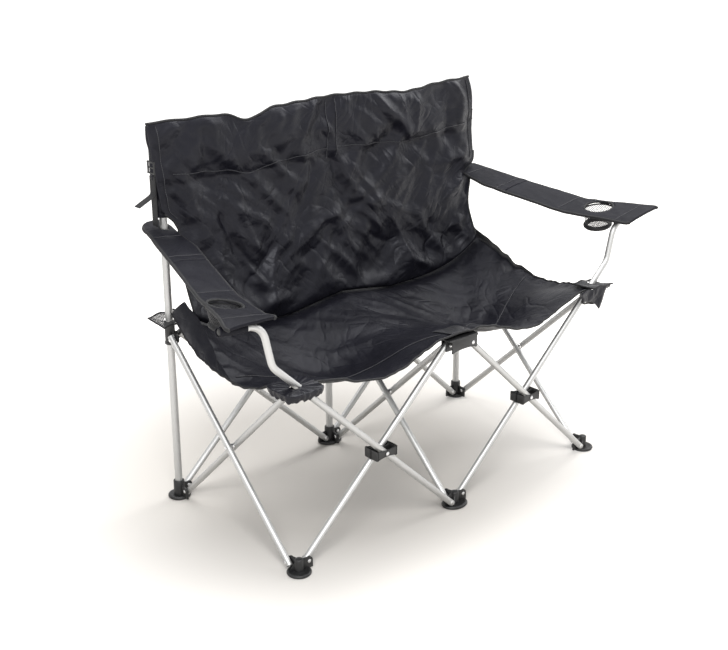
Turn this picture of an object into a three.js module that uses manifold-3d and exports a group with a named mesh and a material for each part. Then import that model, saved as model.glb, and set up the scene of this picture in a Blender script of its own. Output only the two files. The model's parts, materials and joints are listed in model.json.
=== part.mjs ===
// A folding camping loveseat: six feet on a square grid, seven scissor pairs of
// tubes, three rear poles, and a padded fabric back, sling seat and armrests.
// Millimetres, +Z up, the front faces -Y and left and right are as seen from the front.
import * as THREE from "three";
import { mergeVertices } from "three/addons/utils/BufferGeometryUtils.js";
import Module from "manifold-3d";

const wasm = await Module();
wasm.setup();

// Frame grid
const BAY = 500;
const PIN_OFFSET = 28;
const FOOT_PIN_HEIGHT = 22;
const HUB_PIN_HEIGHT = 440;
// Tubes
const LEG_DIAMETER = 16;
const POLE_DIAMETER = 19;
const TUBE_WALL = 1.2;
const TUBE_SIDES = 12;
const LEG_END = 10;
const POLE_TOP = 958;
// Clearances
const SEAT_GAP = 0.3;
const SIDE_GAP = 0.4;
const SLIDE_GAP = 0.5;
// Rivets
const RIVET_DIAMETER = 5;
const RIVET_HEAD = 9;
const RIVET_HEAD_THICK = 1.6;
const RIVET_SIDES = 6;
const RIVET_CROWN_SHARE = 0.6;
const SPACER_DIAMETER = 13;
// Moulded feet, hubs and sliders
const WEB = 5;
const WEB_ROUND = 11;
const FOOT_WEB_TURN = 0.6 * Math.PI;
const HUB_WEB_TURN = 0.75 * Math.PI;
const FOOT_RADIUS = 29;
const FOOT_SIDES = 20;
const MIDDLE_FOOT_STRETCH = 1.25;
const FOOT_THICK = 8;
const FOOT_EDGE = 2.5;
const FOOT_COLUMN = 10;
const FOOT_COLUMN_TOP = 38;
const SOCKET_WALL = 4.2;
const SOCKET_FLOOR = 11;
const SOCKET_TOP = 46;
const SLIDER_WALL = 4;
const SLIDER_BELOW = 20;
const SLIDER_ABOVE = 38;
const HUB_BELOW = 14;
const CORNER_ABOVE = 3;
const HUB_HALF_WIDTH = 48;
const HUB_SHELL = 3;
const HUB_HEADROOM = 15;
const HUB_PLATE = 5;
// Cross brackets on the two front scissors
const BRACKET_HEIGHT = 24;
const BRACKET_WALL = 3;
const BRACKET_END = 7;
const BRACKET_SCALLOP = 4;
const BRACKET_ROUND = 5;
const ARC_SIDES = 36;
// Arm tubes above the corner hubs, as places across and up
const ARM_KNEE_RUN = 130;
const ARM_ELBOW = new THREE.Vector2(590, 630);
const ARM_TIP = new THREE.Vector2(694, 640);
const ARM_BEND_RADIUS = 48;
const BEND_STEPS = 3;
// Caps
const CAP_PLUG = 14;
const CAP_CROWN = 5;
const CAP_CROWN_SHARE = 0.7;
// Back
const CLOTH = 1.8;
const SLEEVE_BOTTOM = 742;
const SLEEVE_HALF_WIDTH = 20;
const BACK_TOP = 970;
const BACK_TOP_DIP = 20;
const BACK_FOOT_Y = 186;
const BACK_FOOT_Z = 442;
const BACK_SIDE_RISE = 84;
const BACK_MIDDLE_RISE = 24;
const CREASE_SIDE_RUN = 30;
const CREASE_SHARPNESS = 6;
const BACK_THIN = 5;
const BACK_CROWN = 13;
const BACK_SEAM_HEIGHT = 820;
const BACK_COLUMNS = 40;
const BACK_ROWS = 20;
const FOLD_RISE = 12;
const FOLD_WIDTH = 20;
const FOLD_FADE = 12;
// The back's main folds, each along a line from one place across and up to another
const BACK_RIDGES = [
  foldLine(-233, 464, -175, 685),
  foldLine(-328, 754, -247, 600),
  foldLine(-137, 623, 23, 672),
  foldLine(-225, 747, -146, 798),
  foldLine(38, 808, 154, 672),
  foldLine(174, 658, 247, 484),
  foldLine(156, 944, 270, 825),
];
const BACK_VALLEYS = [
  foldLine(-362, 749, -258, 570),
  foldLine(-258, 570, -169, 684),
  foldLine(339, 602, 322, 491),
];
const BACK_FOOT_TILT = 0.9;
const NOTCH_HEIGHT = 64;
// Seat
const SEAT_THICK = 6;
const SEAT_OVERHANG = 14;
const SEAT_CORNER_Z = 476;
const SEAT_FRONT_SAG = 48;
const SEAT_SAG = 62;
const SEAT_SIDE_SHARE = 0.8;
const SEAT_REAR_CURVE = 3;
const SEAT_WING_WIDTH = 46;
const SEAT_SPLIT = 0.56;
const SEAT_SIDE_INSET = 14;
const SEAT_COLUMNS = 20;
const SEAT_ROWS = 5;
const SEAT_CROWN = 5;
const SEAT_FOLD_COUNT = 5;
// Armrests
const ARMREST_THICK = 8;
const ARMREST_OVERHANG = 50;
const ARMREST_LEVEL_Y = -105;
const ARMREST_REAR_RISE = 66;
const ARMREST_REAR_WIDTH = 100;
const ARMREST_FRONT_WIDTH = 132;
const ARMREST_FRONT_X = 640;
const ARMREST_SPLIT_Y = 75;
const ARMREST_ROWS = 6;
const ARMREST_COLUMNS = 4;
const ARMREST_CROWN = 3;
const POCKET_LENGTH = 68;
const EYELET_GAP = 1.5;
const ARMREST_END_SHARE = 0.35;
// Cup holders
const CUP_DIAMETER = 80;
const CUP_SIDES = 20;
const CUP_X = 614;
const CUP_Y = -165;
const CUP_DEPTH = 60;
const CUP_BASE_DIAMETER = 66;
const CUP_FLANGE = 6;
const NET_THICK = 1.6;
// Straps
const STRAP_WIDTH = 25;
const STRAP_THICK = 1.8;
const STRAP_TOP = 936;
const STRAP_TAIL_LENGTH = 96;
const STRAP_TAIL_ANGLE = 36;
const BUCKLE_HEIGHT = 864;
const BUCKLE_SIZE = 30;
const BUCKLE_THICK = 4;

// Derived places
const LEG_RADIUS = LEG_DIAMETER / 2;
const POLE_RADIUS = POLE_DIAMETER / 2;
const LAYER = WEB / 2 + SIDE_GAP + LEG_RADIUS;
const SHELL_FACE = LAYER + LEG_RADIUS + SIDE_GAP;
const FRONT_Y = -BAY / 2;
const REAR_Y = BAY / 2;
const SEAT_FRONT_Y = FRONT_Y - SEAT_OVERHANG;
const ARMREST_REACH = REAR_Y + ARMREST_OVERHANG;
const SIDES = { left: -1, middle: 0, right: 1 };
const SLEEVE_INNER = POLE_RADIUS + SLIDE_GAP;
const SLEEVE_OUTER = SLEEVE_INNER + CLOTH;
const SLEEVE_TOP = POLE_TOP + CAP_CROWN + SEAT_GAP + CLOTH;
const ARMREST_LEVEL = ARM_TIP.y + LEG_RADIUS + SEAT_GAP;
const X_AXIS = new THREE.Vector3(1, 0, 0);
const Y_AXIS = new THREE.Vector3(0, 1, 0);
const Z_AXIS = new THREE.Vector3(0, 0, 1);

const aluminium = { color: 0xc9c8c4, roughness: 0.34, metalness: 1 };
const rivetMetal = { color: 0xd6d6d4, roughness: 0.28, metalness: 1 };
const plastic = { color: 0x161617, roughness: 0.48, metalness: 0 };
const fabric = { color: 0x17171c, roughness: 0.82, metalness: 0 };
const webbing = { color: 0x121214, roughness: 0.9, metalness: 0 };

const loveseat = new THREE.Group();

// Closed meshes and their joins

function weld(geometry) {
  const bare = geometry.clone();
  bare.deleteAttribute("normal");
  bare.deleteAttribute("uv");
  const merged = mergeVertices(bare, 1e-4);
  const corners = merged.index.array;
  const kept = [];
  for (let i = 0; i < corners.length; i += 3) {
    const [a, b, c] = [corners[i], corners[i + 1], corners[i + 2]];
    if (a !== b && b !== c && c !== a) kept.push(a, b, c);
  }
  const points = merged.attributes.position.array;
  return { points, kept: signedVolume(points, kept) < 0 ? kept.reverse() : kept };
}

function signedVolume(points, corners) {
  const [a, b, c] = [new THREE.Vector3(), new THREE.Vector3(), new THREE.Vector3()];
  let six = 0;
  for (let i = 0; i < corners.length; i += 3) {
    a.fromArray(points, 3 * corners[i]);
    b.fromArray(points, 3 * corners[i + 1]);
    c.fromArray(points, 3 * corners[i + 2]);
    six += a.dot(b.cross(c));
  }
  return six / 6;
}

function solid(geometry) {
  const { points, kept } = weld(geometry);
  const vertProperties = Float32Array.from(points);
  const triVerts = Uint32Array.from(kept);
  return new wasm.Manifold(new wasm.Mesh({ numProp: 3, vertProperties, triVerts }));
}

function join(...bodies) {
  return bodies.reduce((whole, body) => whole.add(body));
}

function cut(body, ...tools) {
  return tools.reduce((rest, tool) => rest.subtract(tool), body);
}

function piece(name, body, look) {
  const { vertProperties, triVerts } = body.getMesh();
  const geometry = new THREE.BufferGeometry();
  geometry.setAttribute("position", new THREE.BufferAttribute(vertProperties, 3));
  geometry.setIndex(new THREE.BufferAttribute(triVerts, 1));
  const mesh = new THREE.Mesh(geometry, new THREE.MeshStandardMaterial(look));
  mesh.name = name;
  loveseat.add(mesh);
}

// Basic shapes

function turned(profile, sides) {
  const points = profile.map(([radius, height]) => new THREE.Vector2(radius, height));
  return new THREE.LatheGeometry(points, sides).rotateX(Math.PI / 2);
}

function aimed(geometry, point, direction) {
  const turn = new THREE.Quaternion().setFromUnitVectors(Z_AXIS, direction);
  return geometry.applyQuaternion(turn).translate(point.x, point.y, point.z);
}

function rod(radius, length, sides) {
  return turned([[0, -length / 2], [radius, -length / 2], [radius, length / 2], [0, length / 2]], sides);
}

function block(sizeX, sizeY, sizeZ, x, y, z) {
  return solid(new THREE.BoxGeometry(sizeX, sizeY, sizeZ).translate(x, y, z));
}

// A closed surface through rings of points, each ring joined to the next and the last to the first.
function ringLoop(rings) {
  const count = rings[0].length;
  const corners = [];
  rings.forEach((ring, i) => {
    const next = ((i + 1) % rings.length) * count;
    for (let j = 0; j < count; j += 1) {
      const k = (j + 1) % count;
      corners.push(i * count + j, i * count + k, next + k);
      corners.push(i * count + j, next + k, next + j);
    }
  });
  const geometry = new THREE.BufferGeometry().setFromPoints(rings.flat());
  geometry.setIndex(corners);
  return geometry;
}

// A closed slab between a front and a back grid of points.
function slab(columns, rows, front, back) {
  const points = [];
  for (const face of [front, back]) {
    for (let i = 0; i <= columns; i += 1) {
      for (let j = 0; j <= rows; j += 1) points.push(face(i / columns, j / rows));
    }
  }
  const half = (columns + 1) * (rows + 1);
  const at = (side, i, j) => side * half + i * (rows + 1) + j;
  const corners = [];
  const quad = (a, b, c, d) => corners.push(a, b, c, a, c, d);
  for (let i = 0; i < columns; i += 1) {
    for (let j = 0; j < rows; j += 1) {
      quad(at(0, i, j), at(0, i + 1, j), at(0, i + 1, j + 1), at(0, i, j + 1));
      quad(at(1, i, j), at(1, i, j + 1), at(1, i + 1, j + 1), at(1, i + 1, j));
    }
    quad(at(0, i + 1, 0), at(0, i, 0), at(1, i, 0), at(1, i + 1, 0));
    quad(at(0, i, rows), at(0, i + 1, rows), at(1, i + 1, rows), at(1, i, rows));
  }
  for (let j = 0; j < rows; j += 1) {
    quad(at(0, 0, j), at(0, 0, j + 1), at(1, 0, j + 1), at(1, 0, j));
    quad(at(0, columns, j + 1), at(0, columns, j), at(1, columns, j), at(1, columns, j + 1));
  }
  const geometry = new THREE.BufferGeometry().setFromPoints(points);
  geometry.setIndex(corners);
  return solid(geometry);
}

// Tubes

// A hollow tube, open at both ends, along points that lie in the plane square to the given axis.
function hollowTube(path, planeNormal, radius, wall) {
  const rings = [];
  const ringAt = (i, ringRadius) => {
    const before = path[Math.max(i - 1, 0)];
    const after = path[Math.min(i + 1, path.length - 1)];
    const along = after.clone().sub(before).normalize();
    const across = along.clone().cross(planeNormal);
    return Array.from({ length: TUBE_SIDES }, (_, k) => {
      const angle = (2 * Math.PI * (k + 0.5)) / TUBE_SIDES;
      const point = path[i].clone();
      point.addScaledVector(planeNormal, ringRadius * Math.cos(angle));
      return point.addScaledVector(across, ringRadius * Math.sin(angle));
    });
  };
  for (let i = 0; i < path.length; i += 1) rings.push(ringAt(i, radius));
  for (let i = path.length - 1; i >= 0; i -= 1) rings.push(ringAt(i, radius - wall));
  return solid(ringLoop(rings));
}

// A path with its inner corners rounded by arcs.
function roundedPath(points, radius) {
  const path = [points[0]];
  for (let i = 1; i < points.length - 1; i += 1) {
    const back = points[i - 1].clone().sub(points[i]).normalize();
    const on = points[i + 1].clone().sub(points[i]).normalize();
    const half = back.angleTo(on) / 2;
    const middle = back.clone().add(on).normalize();
    const centre = points[i].clone().addScaledVector(middle, radius / Math.sin(half));
    const first = points[i].clone().addScaledVector(back, radius / Math.tan(half)).sub(centre);
    const last = points[i].clone().addScaledVector(on, radius / Math.tan(half)).sub(centre);
    for (let k = 0; k <= BEND_STEPS; k += 1) {
      const spoke = first.clone().lerp(last, k / BEND_STEPS).setLength(radius);
      path.push(centre.clone().add(spoke));
    }
  }
  path.push(points[points.length - 1]);
  return path;
}

// A rivet along its axis with a head at each end, from below the shank to above it.
function rivetShape(low, high) {
  const shank = RIVET_DIAMETER / 2;
  const head = RIVET_HEAD / 2;
  const crown = head * RIVET_CROWN_SHARE;
  return turned(
    [
      [0, low - RIVET_HEAD_THICK],
      [crown, low - RIVET_HEAD_THICK],
      [head, low],
      [shank, low],
      [shank, high],
      [head, high],
      [crown, high + RIVET_HEAD_THICK],
      [0, high + RIVET_HEAD_THICK],
    ],
    RIVET_SIDES,
  );
}

// A tube's own rivet, set in its near wall, which turns in the plate beside the tube.
function tubeRivet(point, axis, side) {
  const shank = RIVET_DIAMETER / 2;
  const head = RIVET_HEAD / 2;
  const top = -(LAYER + WEB / 2 + SEAT_GAP);
  const root = -(LEG_RADIUS - TUBE_WALL) * Math.cos(Math.PI / TUBE_SIDES) - TUBE_WALL / 2;
  const shape = turned(
    [
      [0, top - RIVET_HEAD_THICK],
      [head, top - RIVET_HEAD_THICK],
      [head, top],
      [shank, top],
      [shank, root],
      [0, root],
    ],
    RIVET_SIDES,
  );
  return solid(aimed(shape, point, axis.clone().multiplyScalar(side)));
}

// In the middle hub the rivet also passes out through the hub's shell.
function shellRivet(point, axis, side) {
  const head = RIVET_HEAD / 2;
  const root = LEG_RADIUS * Math.cos(Math.PI / TUBE_SIDES) - TUBE_WALL / 2;
  const top = LEG_RADIUS + SIDE_GAP + HUB_SHELL + SEAT_GAP;
  const shank = RIVET_DIAMETER / 2;
  const shape = turned(
    [
      [0, root],
      [shank, root],
      [shank, top],
      [head, top],
      [head, top + RIVET_HEAD_THICK],
      [0, top + RIVET_HEAD_THICK],
    ],
    RIVET_SIDES,
  );
  return solid(aimed(shape, point, axis.clone().multiplyScalar(side)));
}

// A hole whose flats clear the rivet at every turn, long enough to pass a bracket and both its tubes.
function pinHole(point, axis) {
  const radius = (RIVET_DIAMETER / 2 + SEAT_GAP) / Math.cos(Math.PI / RIVET_SIDES);
  const length = 2 * (SHELL_FACE + 2 * BRACKET_WALL);
  return solid(aimed(rod(radius, length, RIVET_SIDES), point, axis));
}

// A leg from a foot pivot up to a hub pivot, riveted at both and bored where it crosses its pair.
function leg(name, foot, hub, axis, side, path, shellAtHub) {
  const middle = foot.clone().lerp(hub, 0.5);
  const tube = cut(hollowTube(path, axis, LEG_RADIUS, TUBE_WALL), pinHole(middle, axis));
  const rivets = [tubeRivet(foot, axis, side), tubeRivet(hub, axis, side)];
  if (shellAtHub) rivets.push(shellRivet(hub, axis, side));
  piece(name, join(tube, ...rivets), aluminium);
}

function straightPath(foot, hub) {
  const along = hub.clone().sub(foot).normalize();
  const low = foot.clone().addScaledVector(along, -LEG_END);
  return [low, hub.clone().addScaledVector(along, LEG_END)];
}

// Depth scissors: one tube rises to the front, the other to the rear, on either side of the post line.
function depthLegs() {
  for (const [side, sign] of Object.entries(SIDES)) {
    for (const [way, layer] of [["forward", 1], ["rearward", -1]]) {
      const x = sign * BAY + layer * LAYER;
      const foot = new THREE.Vector3(x, layer * (REAR_Y - PIN_OFFSET), FOOT_PIN_HEIGHT);
      const hub = new THREE.Vector3(x, -layer * (REAR_Y - PIN_OFFSET), HUB_PIN_HEIGHT);
      leg(`side_leg_${side}_${way}`, foot, hub, X_AXIS, layer, straightPath(foot, hub), false);
    }
  }
}

// In every scissor across the chair the tube that rises to the left is the front one of the pair.
function crossPins(footX, hubX, y) {
  const layer = hubX > footX ? 1 : -1;
  const inward = Math.sign(hubX - footX) * PIN_OFFSET;
  const foot = new THREE.Vector3(footX + inward, y + layer * LAYER, FOOT_PIN_HEIGHT);
  const hub = new THREE.Vector3(hubX - inward, y + layer * LAYER, HUB_PIN_HEIGHT);
  return { foot, hub, layer };
}

function rearLegs() {
  for (const side of ["left", "right"]) {
    const outer = SIDES[side] * BAY;
    for (const [way, from, to] of [["inward", outer, 0], ["outward", 0, outer]]) {
      const { foot, hub, layer } = crossPins(from, to, REAR_Y);
      leg(`rear_leg_${side}_${way}`, foot, hub, Y_AXIS, layer, straightPath(foot, hub), false);
    }
  }
}

function frontLegs() {
  for (const side of ["left", "right"]) {
    const { foot, hub, layer } = crossPins(SIDES[side] * BAY, 0, FRONT_Y);
    leg(`front_leg_${side}`, foot, hub, Y_AXIS, layer, straightPath(foot, hub), true);
  }
}

function armPath(side) {
  const { foot, hub, layer } = crossPins(0, SIDES[side] * BAY, FRONT_Y);
  const along = hub.clone().sub(foot).normalize();
  const low = foot.clone().addScaledVector(along, -LEG_END);
  const knee = hub.clone().addScaledVector(along, ARM_KNEE_RUN);
  const place = (spot) => new THREE.Vector3(SIDES[side] * spot.x, foot.y, spot.y);
  const path = roundedPath([low, knee, place(ARM_ELBOW), place(ARM_TIP)], ARM_BEND_RADIUS);
  return { foot, hub, layer, path };
}

// Each arm tube crosses a front scissor, passes its corner hub and turns out under the armrest.
function armTubes() {
  for (const side of ["left", "right"]) {
    const { foot, hub, layer, path } = armPath(side);
    leg(`arm_tube_${side}`, foot, hub, Y_AXIS, layer, path, false);
    const outward = armTipDirection(path);
    const plug = LEG_RADIUS - TUBE_WALL - SEAT_GAP;
    piece(`arm_cap_${side}`, solid(aimed(capShape(LEG_RADIUS, plug), path.at(-1), outward)), plastic);
  }
}

function armTipDirection(path) {
  return path.at(-1).clone().sub(path.at(-2)).normalize();
}

function capShape(radius, plug) {
  return turned(
    [
      [0, -CAP_PLUG],
      [plug, -CAP_PLUG],
      [plug, SEAT_GAP],
      [radius, SEAT_GAP],
      [radius, CAP_CROWN / 2],
      [radius * CAP_CROWN_SHARE, CAP_CROWN],
      [0, CAP_CROWN],
    ],
    TUBE_SIDES,
  );
}

function rearPoles() {
  for (const [side, sign] of Object.entries(SIDES)) {
    const low = new THREE.Vector3(sign * BAY, REAR_Y, SOCKET_FLOOR + SEAT_GAP);
    const top = new THREE.Vector3(sign * BAY, REAR_Y, POLE_TOP);
    piece(`rear_pole_${side}`, hollowTube([low, top], X_AXIS, POLE_RADIUS, TUBE_WALL), aluminium);
    const plug = POLE_RADIUS - TUBE_WALL - SEAT_GAP;
    piece(`pole_cap_${side}`, solid(aimed(capShape(POLE_RADIUS, plug), top, Z_AXIS)), plastic);
  }
}

// Rivets at the crossings, with a spacer between the tubes or a bracket round them
function crossingRivets() {
  const reach = LAYER + LEG_RADIUS + SEAT_GAP;
  const spacer = LAYER - LEG_RADIUS - SEAT_GAP;
  const height = (FOOT_PIN_HEIGHT + HUB_PIN_HEIGHT) / 2;
  const plain = () => join(
    solid(rivetShape(-reach, reach)),
    solid(rod(SPACER_DIAMETER / 2, 2 * spacer, RIVET_SIDES)),
  );
  for (const [side, sign] of Object.entries(SIDES)) {
    const body = plain().rotate([0, 90, 0]).translate([sign * BAY, 0, height]);
    piece(`side_rivet_${side}`, body, rivetMetal);
  }
  const caged = SHELL_FACE + BRACKET_WALL + SEAT_GAP;
  for (const side of ["left", "right"]) {
    const x = (SIDES[side] * BAY) / 2;
    piece(`rear_rivet_${side}`, plain().rotate([90, 0, 0]).translate([x, REAR_Y, height]), rivetMetal);
    const long = solid(rivetShape(-caged, caged)).rotate([90, 0, 0]);
    piece(`bracket_rivet_${side}`, long.translate([x, FRONT_Y, height]), rivetMetal);
  }
}

// A cage round both tubes of a front scissor, with a web between them and hollowed edges. Its slots are
// as long as the slanting tubes need where they leave the cage.
function crossBrackets() {
  const slope = (HUB_PIN_HEIGHT - FOOT_PIN_HEIGHT) / (BAY - 2 * PIN_OFFSET);
  const inner = (BRACKET_HEIGHT / 2 + LEG_RADIUS * Math.hypot(1, slope)) / slope + SIDE_GAP;
  const halfLength = inner + BRACKET_END;
  const halfDepth = SHELL_FACE + BRACKET_WALL;
  const outline = roundedRectangle(halfLength, halfDepth, BRACKET_ROUND);
  for (const side of [-1, 1]) {
    const slot = new THREE.Path();
    const [near, far] = [side * WEB / 2, side * SHELL_FACE];
    slot.moveTo(-inner, near).lineTo(inner, near).lineTo(inner, far).lineTo(-inner, far);
    outline.holes.push(slot.closePath());
  }
  const cage = solid(extruded(outline, BRACKET_HEIGHT, 2).translate(0, 0, -BRACKET_HEIGHT / 2));
  const chord = halfLength - BRACKET_END / 2;
  const radius = (chord ** 2 + BRACKET_SCALLOP ** 2) / (2 * BRACKET_SCALLOP);
  const scallops = [-1, 1].map((way) => {
    const rise = way * (BRACKET_HEIGHT / 2 - BRACKET_SCALLOP + radius);
    return solid(aimed(rod(radius, 3 * halfDepth, ARC_SIDES), new THREE.Vector3(0, 0, rise), Y_AXIS));
  });
  const pivot = pinHole(new THREE.Vector3(), Y_AXIS);
  const bracket = cut(cage, ...scallops, pivot);
  const height = (FOOT_PIN_HEIGHT + HUB_PIN_HEIGHT) / 2;
  for (const side of ["left", "right"]) {
    const x = (SIDES[side] * BAY) / 2;
    piece(`cross_bracket_${side}`, bracket.translate([x, FRONT_Y, height]), plastic);
  }
}

function roundedRectangle(halfX, halfY, radius) {
  const shape = new THREE.Shape();
  shape.absarc(halfX - radius, halfY - radius, radius, 0, Math.PI / 2);
  shape.absarc(radius - halfX, halfY - radius, radius, Math.PI / 2, Math.PI);
  shape.absarc(radius - halfX, radius - halfY, radius, Math.PI, 1.5 * Math.PI);
  shape.absarc(halfX - radius, radius - halfY, radius, 1.5 * Math.PI, 2 * Math.PI);
  return shape;
}

function extruded(shape, depth, curveSegments) {
  return new THREE.ExtrudeGeometry(shape, { depth, bevelEnabled: false, curveSegments });
}

// Moulded plates that carry the pivots, one towards each neighbouring post

// An upright plate from the post's axis out past a pivot, turned about the post.
function webPlate(outline, bearing) {
  const plate = extruded(outline, WEB, 4).rotateX(Math.PI / 2).translate(0, WEB / 2, 0);
  return solid(plate.rotateZ(bearing));
}

function footWeb(bearing) {
  const tip = PIN_OFFSET + WEB_ROUND;
  const shape = new THREE.Shape();
  shape.moveTo(0, FOOT_THICK / 2);
  shape.lineTo(tip, FOOT_THICK / 2);
  shape.lineTo(tip, FOOT_PIN_HEIGHT);
  shape.absarc(PIN_OFFSET, FOOT_PIN_HEIGHT, WEB_ROUND, 0, FOOT_WEB_TURN);
  shape.lineTo(0, FOOT_COLUMN_TOP - FOOT_EDGE);
  return webPlate(shape, bearing);
}

function hubWeb(bearing, above) {
  const shape = new THREE.Shape();
  shape.moveTo(0, HUB_PIN_HEIGHT - HUB_BELOW);
  shape.lineTo(PIN_OFFSET, HUB_PIN_HEIGHT - WEB_ROUND);
  shape.absarc(PIN_OFFSET, HUB_PIN_HEIGHT, WEB_ROUND, -Math.PI / 2, HUB_WEB_TURN);
  shape.lineTo(0, HUB_PIN_HEIGHT + above);
  return webPlate(shape, bearing);
}

function webHole(bearing, height) {
  const point = new THREE.Vector3(PIN_OFFSET, 0, height).applyAxisAngle(Z_AXIS, bearing);
  return pinHole(point, Y_AXIS.clone().applyAxisAngle(Z_AXIS, bearing));
}

// The directions from a post to its neighbours, as bearings from +X.
function bearings(sign, row) {
  const list = [row === "front" ? Math.PI / 2 : -Math.PI / 2];
  if (sign > -1) list.push(Math.PI);
  if (sign < 1) list.push(0);
  return list;
}

function foot(sign, row) {
  const ways = bearings(sign, row);
  const base = turned(
    [
      [0, 0],
      [FOOT_RADIUS - FOOT_EDGE, 0],
      [FOOT_RADIUS, FOOT_EDGE],
      [FOOT_RADIUS - FOOT_EDGE / 2, FOOT_THICK - FOOT_EDGE],
      [FOOT_RADIUS - 2 * FOOT_EDGE, FOOT_THICK],
      [0, FOOT_THICK],
    ],
    FOOT_SIDES,
  );
  if (sign === 0) base.scale(MIDDLE_FOOT_STRETCH, 1, 1);
  const webs = ways.map(footWeb);
  const holes = ways.map((way) => webHole(way, FOOT_PIN_HEIGHT));
  if (row === "front") {
    const column = turned(
      [
        [0, FOOT_THICK / 2],
        [FOOT_COLUMN, FOOT_THICK / 2],
        [FOOT_COLUMN, FOOT_COLUMN_TOP - FOOT_EDGE],
        [FOOT_COLUMN - FOOT_EDGE, FOOT_COLUMN_TOP],
        [0, FOOT_COLUMN_TOP],
      ],
      TUBE_SIDES,
    );
    return cut(join(solid(base), solid(column), ...webs), ...holes);
  }
  const bore = POLE_RADIUS + SEAT_GAP;
  const socket = turned(
    [
      [0, FOOT_THICK / 2],
      [bore + SOCKET_WALL, FOOT_THICK / 2],
      [bore + SOCKET_WALL, SOCKET_TOP - FOOT_EDGE],
      [bore + SOCKET_WALL - FOOT_EDGE, SOCKET_TOP],
      [0, SOCKET_TOP],
    ],
    TUBE_SIDES,
  );
  const well = poleBore(bore, SOCKET_FLOOR, 2 * SOCKET_TOP);
  return cut(join(solid(base), solid(socket), ...webs), well, ...holes);
}

// A bore from low to high, whose flats line up with the pole's.
function poleBore(radius, low, high) {
  const shape = rod(radius, high - low, TUBE_SIDES).rotateZ(Math.PI / TUBE_SIDES);
  return solid(shape.translate(0, 0, (low + high) / 2));
}

function feet() {
  for (const [row, y] of [["front", FRONT_Y], ["rear", REAR_Y]]) {
    for (const [side, sign] of Object.entries(SIDES)) {
      piece(`foot_${row}_${side}`, foot(sign, row).translate([sign * BAY, y, 0]), plastic);
    }
  }
}

// Sliders ride up the rear poles when the chair folds.
function sliders() {
  const bore = POLE_RADIUS + SLIDE_GAP;
  const low = HUB_PIN_HEIGHT - SLIDER_BELOW;
  const high = HUB_PIN_HEIGHT + SLIDER_ABOVE;
  for (const [side, sign] of Object.entries(SIDES)) {
    const ways = bearings(sign, "rear");
    const barrel = turned(
      [
        [0, low],
        [bore + SLIDER_WALL, low],
        [bore + SLIDER_WALL, high - FOOT_EDGE],
        [bore + SLIDER_WALL - FOOT_EDGE / 2, high],
        [0, high],
      ],
      TUBE_SIDES,
    );
    const webs = ways.map((way) => hubWeb(way, WEB_ROUND));
    const holes = ways.map((way) => webHole(way, HUB_PIN_HEIGHT));
    const body = cut(join(solid(barrel), ...webs), poleBore(bore, low - WEB, high + WEB), ...holes);
    piece(`slider_${side}`, body.translate([sign * BAY, REAR_Y, 0]), plastic);
  }
}

// Corner hubs stay low, because the arm tubes pass just above them.
function cornerHubs() {
  for (const side of ["left", "right"]) {
    const ways = bearings(SIDES[side], "front");
    const core = turned(
      [
        [0, HUB_PIN_HEIGHT - HUB_BELOW],
        [FOOT_COLUMN, HUB_PIN_HEIGHT - HUB_BELOW],
        [FOOT_COLUMN, HUB_PIN_HEIGHT + CORNER_ABOVE - FOOT_EDGE],
        [FOOT_COLUMN - FOOT_EDGE, HUB_PIN_HEIGHT + CORNER_ABOVE],
        [0, HUB_PIN_HEIGHT + CORNER_ABOVE],
      ],
      TUBE_SIDES,
    );
    const reliefY = SIDES[side] * (WEB / 2 + FOOT_COLUMN / 2);
    const relief = block(2 * FOOT_COLUMN, FOOT_COLUMN, 3 * HUB_BELOW, 0, reliefY, HUB_PIN_HEIGHT);
    const webs = ways.map((way) => hubWeb(way, CORNER_ABOVE));
    const holes = ways.map((way) => webHole(way, HUB_PIN_HEIGHT));
    const body = cut(join(cut(solid(core), relief), ...webs), ...holes);
    piece(`corner_hub_${side}`, body.translate([SIDES[side] * BAY, FRONT_Y, 0]), plastic);
  }
}

// The middle hub is a housing open below: front shell, half a rear shell, a web between and a top plate.
function frontHub() {
  const low = HUB_PIN_HEIGHT - HUB_BELOW;
  const plateLow = HUB_PIN_HEIGHT + HUB_HEADROOM;
  const tall = plateLow - low + HUB_PLATE / 2;
  const centre = low + tall / 2;
  const shellY = SHELL_FACE + HUB_SHELL / 2;
  const plateShape = roundedRectangle(HUB_HALF_WIDTH, SHELL_FACE + HUB_SHELL, 2 * HUB_SHELL);
  const plate = solid(extruded(plateShape, HUB_PLATE, 4).translate(0, 0, plateLow));
  const span = 2 * (HUB_HALF_WIDTH - 2 * HUB_SHELL);
  const front = block(span, HUB_SHELL, tall, 0, -shellY, centre);
  const rearSpan = HUB_HALF_WIDTH - 2 * HUB_SHELL - WEB;
  const rear = block(rearSpan, HUB_SHELL, tall, -(WEB + rearSpan / 2), shellY, centre);
  const web = block(span, WEB, tall, 0, 0, centre);
  const arch = solid(
    aimed(rod(span / 2, 4 * shellY, ARC_SIDES), new THREE.Vector3(0, 0, low - span / 2 + WEB), Y_AXIS),
  );
  const ways = bearings(0, "front");
  const holes = ways.map((way) => webHole(way, HUB_PIN_HEIGHT));
  const body = cut(join(plate, cut(front, arch), rear, web, hubWeb(Math.PI / 2, HUB_HEADROOM)), ...holes);
  piece("front_hub", body.translate([0, FRONT_Y, 0]), plastic);
}

// Fabric

// Zero where the fabric lies on a hub and one midway between two posts.
function midBay(x) {
  const share = (Math.abs(x) - HUB_HALF_WIDTH) / (BAY - 2 * HUB_HALF_WIDTH);
  return Math.sin(Math.PI * THREE.MathUtils.clamp(share, 0, 1)) ** 2;
}

// The plump rise of padding between two seams, at a share of the way from one to the other.
function swell(share) {
  return Math.sqrt(Math.sin(Math.PI * THREE.MathUtils.clamp(share, 0, 1)));
}

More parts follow.
